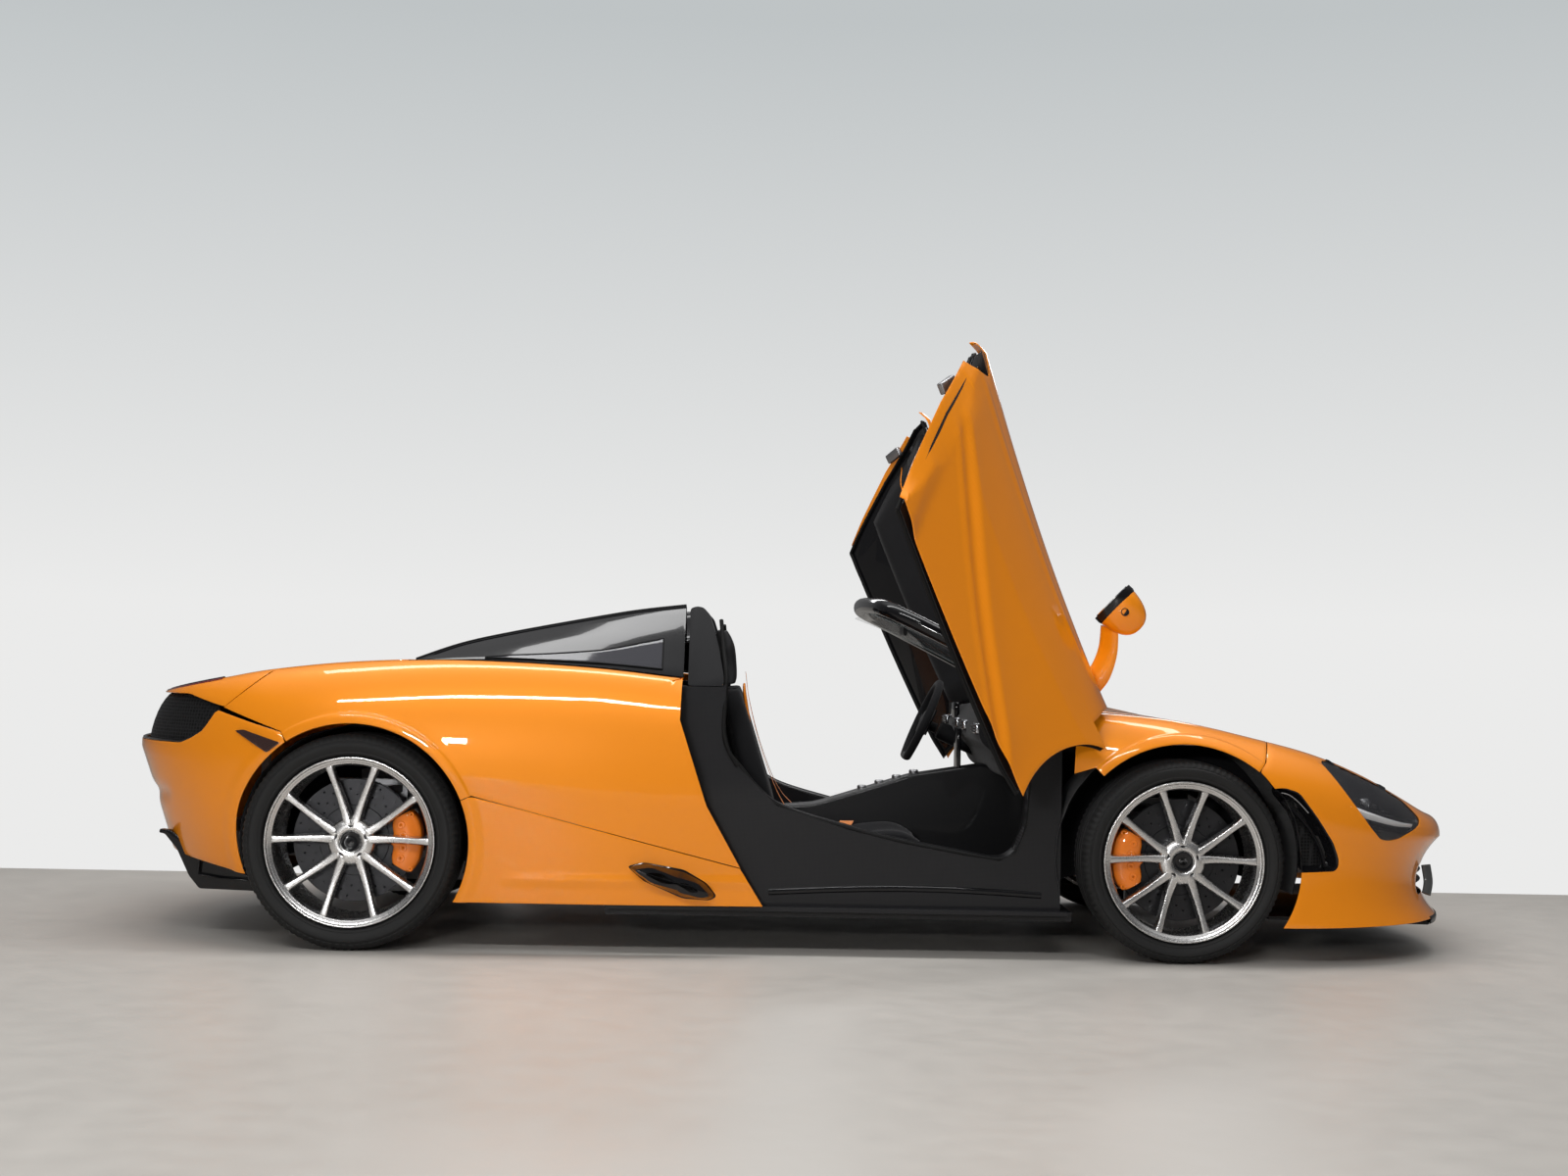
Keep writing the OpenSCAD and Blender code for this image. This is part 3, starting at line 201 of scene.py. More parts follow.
@dataclass(frozen=True)
class Finish:
    """A surface finish; its subclasses say how it is mixed."""

    name: str
    colour: tuple[float, float, float] = (0.5, 0.5, 0.5)

    def mix(self, shader: Shader) -> None:
        """Fills the shader in."""
        raise NotImplementedError

    def shade(self, factor: float, lift: float = 0.0) -> tuple[float, ...]:
        """The colour made darker or lighter, at most white."""
        return tuple(min(c * factor + lift, 1) for c in self.colour)

    def material(self) -> bpy.types.Material:
        """The finish as a material, made once."""
        found = bpy.data.materials.get(self.name)
        if found:
            return found
        shader = Shader(self.name)
        self.mix(shader)
        return shader.material


@dataclass(frozen=True)
class Lacquer(Finish):
    """Body paint under clear coat, with fine flake and a trace of orange peel."""

    flake: float = 0.06
    roughness: float = 0.36

    def mix(self, shader: Shader) -> None:
        """Fills the shader in."""
        flakes = shader.noise(2600, 1)
        cloud = shader.noise(1.7, 2)
        mixed = shader.tint(self.shade(1 - self.flake), self.shade(1 + self.flake), flakes * 0.7 + cloud * 0.3)
        shader.set(Base_Color=mixed, Metallic=0.1, Specular_IOR_Level=0.15,
                   Roughness=self.roughness + 0.08 * (flakes - 0.5), Coat_Weight=1.0, Coat_Roughness=0.02,
                   Coat_IOR=1.5)
        shader.bump(shader.noise(210, 2), 0.00004, 0.35)


@dataclass(frozen=True)
class Moulded(Finish):
    """Moulded plastic, gloss or grained."""

    roughness: float = 0.5
    grain: float = 0.0002
    grain_scale: float = 900
    coat: float = 0.0

    def mix(self, shader: Shader) -> None:
        """Fills the shader in."""
        grain = shader.noise(self.grain_scale, 3)
        dust = shader.noise(6, 5)
        mixed = shader.tint(self.shade(0.8), self.shade(1.2, 0.0005), dust)
        shader.set(Base_Color=mixed, Roughness=self.roughness + 0.14 * (dust - 0.5),
                   Specular_IOR_Level=0.14, Coat_Weight=self.coat * 0.5, Coat_Roughness=0.03)
        shader.bump(grain, self.grain, 0.6)


@dataclass(frozen=True)
class Weave(Finish):
    """Two-by-two twill of carbon fibre under lacquer."""

    pitch: float = 0.004

    def mix(self, shader: Shader) -> None:
        """Fills the shader in."""
        across, along, up = shader.axes()
        turn = 2 * math.pi / self.pitch
        warp = ((across + along + up) * (turn / 2)).sine()
        weft = ((across - along - up) * (turn / 2)).sine()
        tow = (warp * weft) * 0.5 + 0.5
        shader.set(Base_Color=shader.tint(self.shade(0.45), self.colour, tow), Roughness=0.36 + 0.2 * tow,
                   Specular_IOR_Level=0.12, Coat_Weight=0.35, Coat_Roughness=0.05)
        shader.bump(tow, 0.00012, 0.5)


@dataclass(frozen=True)
class Hide(Finish):
    """Leather or suede-like trim with pebbled grain."""

    pebble: float = 420
    roughness: float = 0.55
    sheen: float = 0.25

    def mix(self, shader: Shader) -> None:
        """Fills the shader in."""
        cells = shader.node("TexVoronoi", {"feature": "F1"}, {"Vector": shader.place(), "Scale": self.pebble})
        wear = shader.noise(9, 4)
        shader.set(Base_Color=shader.tint(self.colour, self.shade(1.5, 0.002), wear),
                   Sheen_Weight=self.sheen * 0.2, Sheen_Roughness=0.4,
                   Specular_IOR_Level=0.15, Roughness=self.roughness + 0.2 * (cells - 0.4))
        shader.bump(cells * 0.8 + wear * 0.4, 0.0004, 0.7)


@dataclass(frozen=True)
class Webbing(Finish):
    """Woven belt webbing with ribs across it."""

    ribs: float = 0.0016

    def mix(self, shader: Shader) -> None:
        """Fills the shader in."""
        across, _, up = shader.axes()
        rib = ((up + across * 0.5) * (2 * math.pi / self.ribs)).sine() * 0.5 + 0.5
        shader.set(Base_Color=shader.tint(self.shade(0.6), self.colour, rib), Roughness=0.62, Sheen_Weight=0.3)
        shader.bump(rib, 0.0004, 0.8)


@dataclass(frozen=True)
class Metal(Finish):
    """Metal with brushing or casting marks."""

    roughness: float = 0.3
    brushed: tuple[float, float, float] = (60, 60, 60)
    relief: float = 0.00006

    def mix(self, shader: Shader) -> None:
        """Fills the shader in."""
        marks = shader.noise(6, 4, shader.place(scale=self.brushed))
        cloud = shader.noise(5, 3)
        shader.set(Base_Color=shader.tint(self.shade(0.82), self.colour, marks * 0.6 + cloud * 0.4), Metallic=1.0,
                   Roughness=self.roughness + 0.18 * (marks - 0.5))
        shader.bump(marks, self.relief, 0.5)


@dataclass(frozen=True)
class Turned(Finish):
    """Machined disc face: rings about a wheel's axle."""

    centre: tuple[float, float, float] = (0, 0, 0)
    pitch: float = 0.0011
    roughness: float = 0.34

    def mix(self, shader: Shader) -> None:
        """Fills the shader in."""
        flat = shader.place(self.centre, (1, 0, 1))
        radius = shader.node("VectorMath", {"operation": "LENGTH"}, {0: flat}, 1)
        wobble = shader.noise(40, 3)
        rings = ((radius + wobble * 0.0006) * (2 * math.pi / self.pitch)).sine() * 0.5 + 0.5
        bands = shader.node("TexNoise", {"noise_dimensions": "1D"}, {"W": radius, "Scale": 260.0, "Detail": 4.0})
        shader.set(Base_Color=shader.tint(self.shade(0.62), self.colour, rings * 0.35 + bands * 0.65), Metallic=0.9,
                   Roughness=self.roughness + 0.2 * (bands - 0.5))
        shader.bump(rings, 0.00003, 0.5)


@dataclass(frozen=True)
class Rubber(Finish):
    """Tyre rubber, a little browned with road dust in random patches."""

    roughness: float = 0.62

    def mix(self, shader: Shader) -> None:
        """Fills the shader in."""
        grain = shader.noise(700, 2)
        dust = shader.noise(14, 5)
        shader.set(Base_Color=shader.tint(self.colour, self.shade(1.7, 0.003), dust * 0.6 + grain * 0.15),
                   Specular_IOR_Level=0.22, Roughness=self.roughness + 0.2 * (dust - 0.5))
        shader.bump(grain, 0.00025, 0.5)


@dataclass(frozen=True)
class Mesh(Finish):
    """Black grille mesh: hexagon-like holes painted near-black, a painted shade of the hollow behind them."""

    cell: float = 0.011

    def mix(self, shader: Shader) -> None:
        """Fills the shader in."""
        edge = shader.node("TexVoronoi", {"feature": "DISTANCE_TO_EDGE"},
                           {"Vector": shader.place(), "Scale": 1 / self.cell, "Randomness": 0.12})
        wire = 1 - edge.above(0.12)
        # the near-black colour of the holes is painted shade, standing in for the shadowed hollow behind the mesh
        shader.set(Base_Color=shader.tint((0.002, 0.002, 0.002), self.colour, wire), Roughness=0.6 - 0.2 * wire,
                   Specular_IOR_Level=0.2)
        shader.bump(wire, 0.002, 1.0)


@dataclass(frozen=True)
class Pane(Finish):
    """Tinted glass."""

    alpha: float = 0.3
    transmission: float = 0.0

    def mix(self, shader: Shader) -> None:
        """Fills the shader in."""
        film = shader.noise(3, 4)
        shader.set(Base_Color=shader.tint(self.colour, self.shade(0.8), film),
                   Roughness=0.03 + 0.03 * film, Alpha=self.alpha + 0.04 * film, Coat_Weight=0.6,
                   Coat_Roughness=0.02,
                   Transmission_Weight=self.transmission, Specular_IOR_Level=0.7)


@dataclass(frozen=True)
class Lens(Finish):
    """Lamp lens with fine optics and a faint glow."""

    glow: float = 0.25

    def mix(self, shader: Shader) -> None:
        """Fills the shader in."""
        cells = shader.node("TexVoronoi", {"feature": "F1"}, {"Vector": shader.place(), "Scale": 260.0,
                "Randomness": 0.0})
        colour = shader.tint(self.colour, self.shade(1.3), cells)
        shader.set(Base_Color=colour, Roughness=0.12 + 0.1 * cells, Coat_Weight=1.0, Coat_Roughness=0.02,
                   Emission_Color=colour, Emission_Strength=self.glow)
        shader.bump(cells, 0.0006, 0.6)


@dataclass(frozen=True)
class Concrete(Finish):
    """Polished pale concrete, turning into the white sweep behind the car."""

    sweep: tuple[float, float, float] = (0.83, 0.83, 0.825)
    edge_y: float = 1.55

    def mix(self, shader: Shader) -> None:
        """Fills the shader in."""
        cloud = shader.noise(0.55, 6)
        speck = shader.noise(9, 5)
        base = shader.tint(self.shade(0.84), self.shade(1.12), cloud * 0.75 + speck * 0.25)
        behind = shader.axes()[Axis.Y.value].above(self.edge_y)
        shader.set(Base_Color=base, Roughness=0.42 + 0.25 * (speck - 0.5), Specular_IOR_Level=0.35)
        shader.bump(speck, 0.0008, 0.25)
        glow = shader.node("Emission", inputs={"Color": (*self.sweep, 1), "Strength": 1.0})
        camera = shader.node("LightPath", output="Is Camera Ray")
        out = next(n for n in shader.tree.nodes if n.type == "OUTPUT_MATERIAL")
        mixed = shader.node("MixShader", inputs={0: behind * camera, 1: Sock(shader.tree, shader.bsdf.outputs[0]),
                                                 2: glow})
        shader.tree.links.new(mixed.socket, out.inputs["Surface"])


ORANGE = Lacquer("orange_lacquer", (0.90, 0.272, 0.003))
GLOSS_BLACK = Moulded("gloss_black", (0.006, 0.006, 0.007), 0.12, 0.00002, 300, 1.0)
SATIN_BLACK = Moulded("satin_black", (0.007, 0.007, 0.008), 0.42, 0.0001, 800)
GRAINED_BLACK = Moulded("grained_black", (0.008, 0.008, 0.009), 0.62, 0.0003, 1100)
SEAL_RUBBER = Moulded("seal_rubber", (0.008, 0.008, 0.008), 0.7, 0.0002, 1400)
CARPET = Hide("black_carpet", (0.007, 0.007, 0.008), 1500, 0.95, 0.5)
CARBON = Weave("carbon_twill", (0.016, 0.016, 0.018))
DARK_CARBON = Weave("dark_carbon_twill", (0.011, 0.011, 0.012))
SUEDE = Hide("black_suede", (0.009, 0.009, 0.010), 800, 0.85, 0.55)
LEATHER = Hide("black_leather", (0.010, 0.010, 0.011), 380, 0.5, 0.12)
ORANGE_LEATHER = Hide("orange_leather", (0.75, 0.2, 0.01), 380, 0.5, 0.15)
ORANGE_WEB = Webbing("orange_webbing", (0.85, 0.24, 0.01))
SHADOW_GREY = Moulded("shadow_grey", (0.07, 0.075, 0.075), 0.35, 0.00005, 500, 0.5)
SCREEN_GLASS = Pane("screen_glass", (0.55, 0.62, 0.62), 0.16)
DARK_GLASS = Pane("dark_glass", (0.006, 0.006, 0.007), 0.95)
LAMP_COVER = Pane("lamp_cover", (0.10, 0.10, 0.11), 0.16)
MIRROR_GLASS = Metal("mirror_glass", (0.8, 0.82, 0.84), 0.02, (4, 4, 4), 0.0)
ALLOY = Metal("brushed_alloy", (0.72, 0.71, 0.70), 0.27, (90, 8, 90), 0.00004)
CAST = Metal("cast_alloy", (0.36, 0.36, 0.37), 0.45, (40, 40, 40), 0.0003)
GREY_TRIM = Metal("grey_trim", (0.42, 0.43, 0.45), 0.22, (30, 60, 30), 0.00003)
ENGINE_CAST = Metal("engine_castings", (0.24, 0.24, 0.25), 0.5, (30, 30, 30), 0.0006)
BOLT_STEEL = Metal("bolt_steel", (0.09, 0.09, 0.10), 0.35, (50, 50, 50), 0.00003)
CALIPER_PAINT = Lacquer("caliper_orange", (0.80, 0.19, 0.008), 0.08, 0.42)
TYRE_RUBBER = Rubber("tyre_rubber", (0.010, 0.010, 0.010))
BLACK_MESH = Mesh("grille_mesh", (0.016, 0.016, 0.017))
LED = Lens("led_bar", (0.78, 0.79, 0.82), 0.08)
RED_LAMP = Lens("tail_lamp_lens", (0.12, 0.006, 0.006), 0.05)
REFLECTOR = Lens("smoked_reflector", (0.03, 0.012, 0.01), 0.0)
SCREEN = Moulded("display_glass", (0.004, 0.004, 0.005), 0.08, 0.0, 200, 1.0)
CONCRETE = Concrete("pale_concrete", (0.50, 0.475, 0.44))


# ------------------------------------------------------------------ modelling
def only(piece: bpy.types.Object) -> None:
    """Selects one object and makes it active."""
    bpy.ops.object.select_all(action="DESELECT")
    piece.select_set(True)
    bpy.context.view_layer.objects.active = piece


def apply(piece: bpy.types.Object, kind: str, **settings: object) -> bpy.types.Object:
    """Adds a modifier and applies it.

    Args:
        piece: the object.
        kind: the modifier's type.
        settings: its properties.

    Returns:
        The same object.
    """
    only(piece)
    bpy.ops.object.modifier_add(type=kind)
    modifier = piece.modifiers[-1]
    for key, value in settings.items():
        setattr(modifier, key, value)
    bpy.ops.object.modifier_apply(modifier=modifier.name)
    return piece


def merge(piece: bpy.types.Object, outward: bool = True) -> bpy.types.Object:
    """Merges doubled points and, for closed forms, turns the faces outwards."""
    only(piece)
    bpy.ops.object.mode_set(mode="EDIT")
    bpy.ops.mesh.select_all(action="SELECT")
    bpy.ops.mesh.remove_doubles(threshold=MERGE)
    if outward:
        bpy.ops.mesh.normals_make_consistent(inside=False)
    bpy.ops.object.mode_set(mode="OBJECT")
    return piece


def soften(piece: bpy.types.Object, width: float = 0.0, segments: int = 2, angle: float = 35) -> bpy.types.Object:
    """Bevels the sharp edges and shades the rest smooth.

    Args:
        piece: the object.
        width: bevel width in metres, or 0 for none.
        segments: bevel segments.
        angle: the angle in degrees past which an edge counts as sharp.

    Returns:
        The same object.
    """
    if width:
        apply(piece, "BEVEL", width=width, segments=segments, limit_method="ANGLE", angle_limit=math.radians(angle))
    only(piece)
    bpy.ops.object.shade_smooth_by_angle(angle=math.radians(angle))
    return piece


def sheet_of(name: str, rows: Rows, flip: bool = False) -> bpy.types.Object:
    """A surface through rows of points, made from a grid.

    Args:
        name: the object's name.
        rows: points in millimetres.
        flip: turns the faces over; without it, row step x point step points outwards.

    Returns:
        The object.
    """
    across, along = len(rows), len(rows[0])
    bpy.ops.object.select_all(action="DESELECT")
    bpy.ops.mesh.primitive_grid_add(x_subdivisions=across - 1, y_subdivisions=along - 1, size=1)
    piece = bpy.context.active_object
    piece.name = piece.data.name = name
    spots = np.array([rows[i][j] for j in range(along) for i in range(across)], dtype=float) * MM
    piece.data.vertices.foreach_set("co", spots.ravel())
    piece.data.update()
    if flip:
        piece.data.flip_normals()
    return piece


def panel(name: str, rows: Rows, thick: float = 3.0, flip: bool = False, edge: float = 0.0012) -> bpy.types.Object:
    """A pressed panel: a surface given its thickness inwards and rounded edges."""
    piece = sheet_of(name, rows, flip)
    merge(piece, outward=False)
    apply(piece, "SOLIDIFY", thickness=thick * MM, offset=-1, use_even_offset=False)
    return soften(piece, edge, 2, 50) if edge else piece


def prism(name: str, outline: Outline, axis: Axis, near: float, far: float) -> bpy.types.Object:
    """An outline in millimetres pushed out along an axis from one place to another."""
    bpy.ops.object.select_all(action="DESELECT")
    bpy.ops.mesh.primitive_circle_add(vertices=len(outline), fill_type="NGON")
    piece = bpy.context.active_object
    piece.name = piece.data.name = name
    for vertex, spot in zip(piece.data.vertices, outline):
        place = list(spot)
        place.insert(axis.value, near)
        vertex.co = Vector(place) * MM
    bpy.ops.object.mode_set(mode="EDIT")
    bpy.ops.mesh.select_all(action="SELECT")
    push = [0.0, 0.0, 0.0]
    push[axis.value] = (far - near) * MM
    bpy.ops.mesh.extrude_region_move(TRANSFORM_OT_translate={"value": push})
    bpy.ops.mesh.select_all(action="SELECT")
    bpy.ops.mesh.normals_make_consistent(inside=False)
    bpy.ops.object.mode_set(mode="OBJECT")
    return piece


def block(name: str, low: Point, high: Point, round_by: float = 4, segments: int = 3) -> bpy.types.Object:
    """A box with rounded edges, from corner to corner in millimetres."""
    outline = [(low[0], low[2]), (high[0], low[2]), (high[0], high[2]), (low[0], high[2])]
    return soften(prism(name, outline, Axis.Y, low[1], high[1]), round_by * MM, segments, 40)


def trim_with(piece: bpy.types.Object, cutter: bpy.types.Object, operation: str = "DIFFERENCE") -> bpy.types.Object:
    """Cuts a piece with another object, which is used up."""
    apply(piece, "BOOLEAN", operation=operation, object=cutter, solver="EXACT")
    bpy.data.objects.remove(cutter)
    return piece


def swell(value: float, power: float) -> float:
    """A sine or cosine raised to a power, with its sign kept."""
    return math.copysign(abs(value) ** power, value)


def closing(ring: Sequence[Point]) -> list[Vector]:
    """A ring drawn together to its middle, which closes the end of a lofted form."""
    middle = sum((Vector(p) for p in ring[:-1]), Vector()) / (len(ring) - 1)
    return [middle] * len(ring)


def middle_of(outline: Outline) -> Vector:
    """Mean of an outline's points."""
    return Vector((sum(p[0] for p in outline) / len(outline), sum(p[1] for p in outline) / len(outline)))


def turns(count: int) -> list[float]:
    """Angles once round, the first one repeated as the last."""
    return [2 * math.pi * k / count for k in range(count + 1)]


def spline(a: float, b: float, c: float, d: float, f: float) -> float:
    """Smooth value between b and c."""
    return 0.5 * (2 * b + (c - a) * f + (2 * a - 5 * b + 4 * c - d) * f * f + (3 * b - a - 3 * c + d) * f * f * f)


def flow(points: Sequence[Point], count: int) -> list[list[float]]:
    """Points along a smooth curve through the given ones."""
    last = len(points) - 1
    found = []
    for k in range(count + 1):
        u = min(k / count * last, last - 1e-9)
        i = int(u)
        rows = [points[max(i - 1, 0)], points[i], points[i + 1], points[min(i + 2, last)]]
        found.append([spline(*(r[c] for r in rows), u - i) for c in range(len(points[0]))])
    return found


def tube(name: str, path: Sequence[Point], wide: float, high: float | None = None, sides: int = 12,
         up: Point = (0, 0, 1), taper: Callable[[float], float] | None = None,
         square: float = 1.0) -> bpy.types.Object:
    """A closed bar of oval section along a path.

    Args:
        name: the object's name.
        path: points in millimetres.
        wide: half-width of the section.
        high: half-height of the section, the same as wide if left out.
        sides: points round the section.
        up: direction in which the height is measured.
        taper: scale of the section from 0 to 1 along the path.
        square: below 1 squares the section's corners.

    Returns:
        The object.
    """
    high = high or wide
    spots = [Vector(p) for p in path]
    rows: Rows = []
    for k, spot in enumerate(spots):
        run = (spots[min(k + 1, len(spots) - 1)] - spots[max(k - 1, 0)]).normalized()
        side = run.cross(Vector(up)).normalized()
        top = side.cross(run)
        size = taper(k / (len(spots) - 1)) if taper else 1.0
        ring = []
        for a in turns(sides):
            c, s = swell(math.cos(a), square), swell(math.sin(a), square)
            ring.append(spot + side * (wide * size * c) + top * (high * size * s))
        rows.append(ring)
    ends = [[spots[0]] * (sides + 1), [spots[-1]] * (sides + 1)]
    return merge(sheet_of(name, [ends[0], *rows, ends[1]]))


def turned(name: str, profile: Outline, place: Callable[[float, float, float], Point], steps: int = 96,
           ripple: Callable[[float, int], float] | None = None) -> bpy.types.Object:
    """A form turned about an axle.

    Args:
        name: the object's name.
        profile: radius and outward distance of each point, closed.
        place: gives the place of radius, angle and distance.
        steps: points round the turn.
        ripple: change of radius at an angle and profile point.

    Returns:
        The object.
    """
    loop = [*profile, profile[0]]
    rows = []
    for k in range(steps + 1):
        a = 2 * math.pi * (k % steps) / steps
        rows.append([place(r + (ripple(a, j % len(profile)) if ripple else 0), a, d) for j,
                     (r, d) in enumerate(loop)])
    return merge(sheet_of(name, rows))


def copied(piece: bpy.types.Object, name: str, matrix: Matrix | None = None,
           mirror: bool = False) -> bpy.types.Object:
    """A copy with its own mesh, moved by a matrix or mirrored to the other side."""
    twin = piece.copy()
    twin.data = piece.data.copy()
    twin.name = twin.data.name = name
    bpy.context.collection.objects.link(twin)
    if matrix:
        twin.data.transform(matrix)
    if mirror:
        twin.data.transform(Matrix.Scale(-1, 4, (0, 1, 0)))
        twin.data.flip_normals()
    return twin


def joined(name: str, pieces: Sequence[bpy.types.Object]) -> bpy.types.Object:
    """Several objects joined into one."""
    bpy.ops.object.select_all(action="DESELECT")
    for piece in pieces:
        piece.select_set(True)
    bpy.context.view_layer.objects.active = pieces[0]
    bpy.ops.object.join()
    pieces[0].name = pieces[0].data.name = name
    return pieces[0]


def dress(piece: bpy.types.Object, finish: Finish, body: str,
          stands_for: Iterable[str] = ()) -> bpy.types.Object:
    """Gives a piece its finish and says what it rides on and stands for.

    Args:
        piece: the object.
        finish: its finish.
        body: the CAD body that it moves with.
        stands_for: CAD nodes that it replaces.

    Returns:
        The same object.
    """
    piece.data.materials.clear()
    piece.data.materials.append(finish.material())
    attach(piece, body)
    if stands_for:
        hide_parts(*stands_for)
    log.info("%s: %d faces on %s", piece.name, len(piece.data.polygons), body)
    return piece


def dress_pair(piece: bpy.types.Object, finish: Finish, bodies: tuple[str, str],
               stands_for: tuple[Iterable[str], Iterable[str]] = ((), ())) -> None:
    """Dresses a right-hand piece named right_... and its mirrored left-hand copy."""
    twin = copied(piece, piece.name.replace("right", "left", 1), mirror=True)
    for half, body, nodes in zip((piece, twin), bodies, stands_for):
        dress(half, finish, body, nodes)


def recoat(node: str, finish: Finish) -> None:
    """Gives a CAD node another finish."""
    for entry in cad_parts[node].material_slots:
        entry.material = finish.material()
    log.info("%s: kept with %s", node, finish.name)


def lerp(a: float, b: float, f: float) -> float:
    """Value on the way from a to b."""
    return a + (b - a) * f


def ease(f: float) -> float:
    """Smooth step from 0 to 1."""
    f = min(max(f, 0.0), 1.0)
    return f * f * (3 - 2 * f)


def steps(count: int) -> list[float]:
    """Fractions from 0 to 1."""
    return [k / count for k in range(count + 1)]


# ------------------------------------------------------------------ body surface
X, WIDE_Y, WIDE_Z, LOW_Y, SILL_Y, SILL_Z, CREST_Y, CREST_Z, MID_Z = range(9)
STATIONS = [
    (-2271, 0, 620, 0, 0, 290, 0, 806, 806), (-2262, 230, 620, 222, 205, 290, 225, 808, 807),
    (-2225, 430, 618, 415, 385, 288, 412, 812, 810), (-2150, 600, 612, 580, 540, 280, 565, 820, 816),
    (-2030, 740, 602, 712, 655, 265, 680, 838, 828), (-1880, 850, 594, 822, 760, 245, 742, 862, 846),
    (-1700, 925, 592, 893, 850, 215, 782, 893, 872), (-1430, 962, 600, 932, 890, 180, 805, 922, 905),
    (-1100, 960, 565, 928, 900, 150, 818, 934, 925), (-700, 945, 520, 927, 905, 150, 822, 919, 925),
    (-360, 925, 495, 910, 895, 156, 815, 886, 900), (0, 905, 480, 882, 872, 160, 803, 852, 870),
    (400, 900, 480, 872, 865, 158, 793, 824, 850), (800, 915, 500, 886, 872, 155, 800, 802, 838),
    (1000, 935, 525, 906, 888, 150, 803, 797, 824), (1240, 955, 545, 928, 915, 135, 792, 776, 778),
    (1500, 948, 505, 937, 935, 124, 762, 722, 712), (1700, 912, 455, 905, 922, 124, 712, 672, 655),
    (1880, 842, 418, 836, 865, 126, 640, 606, 592), (2030, 735, 402, 728, 765, 128, 548, 536, 532),
    (2140, 600, 396, 594, 632, 130, 440, 486, 492), (2215, 430, 392, 425, 458, 130, 318, 463, 470),
    (2258, 220, 390, 217, 236, 130, 162, 455, 458), (2271, 0, 390, 0, 0, 130, 0, 452, 454)]
LAST = len(STATIONS) - 1
MIRRORED = {WIDE_Y, LOW_Y, SILL_Y, CREST_Y}
LOW_AT = 0.45
NOSE_FROM, TAIL_FROM = 1600, -1750
NOSE_BACK, TAIL_BACK = (22, 85, 34), (125, 72, 130)
ROUND = 0.9
STRIP_W = 130
HALVINGS = 18
FRONT_AXLE, REAR_AXLE = (1240.0, 327.0), (-1430.0, 345.5)
FRONT_ARCH_R, REAR_ARCH_R = 377.0, 378.5


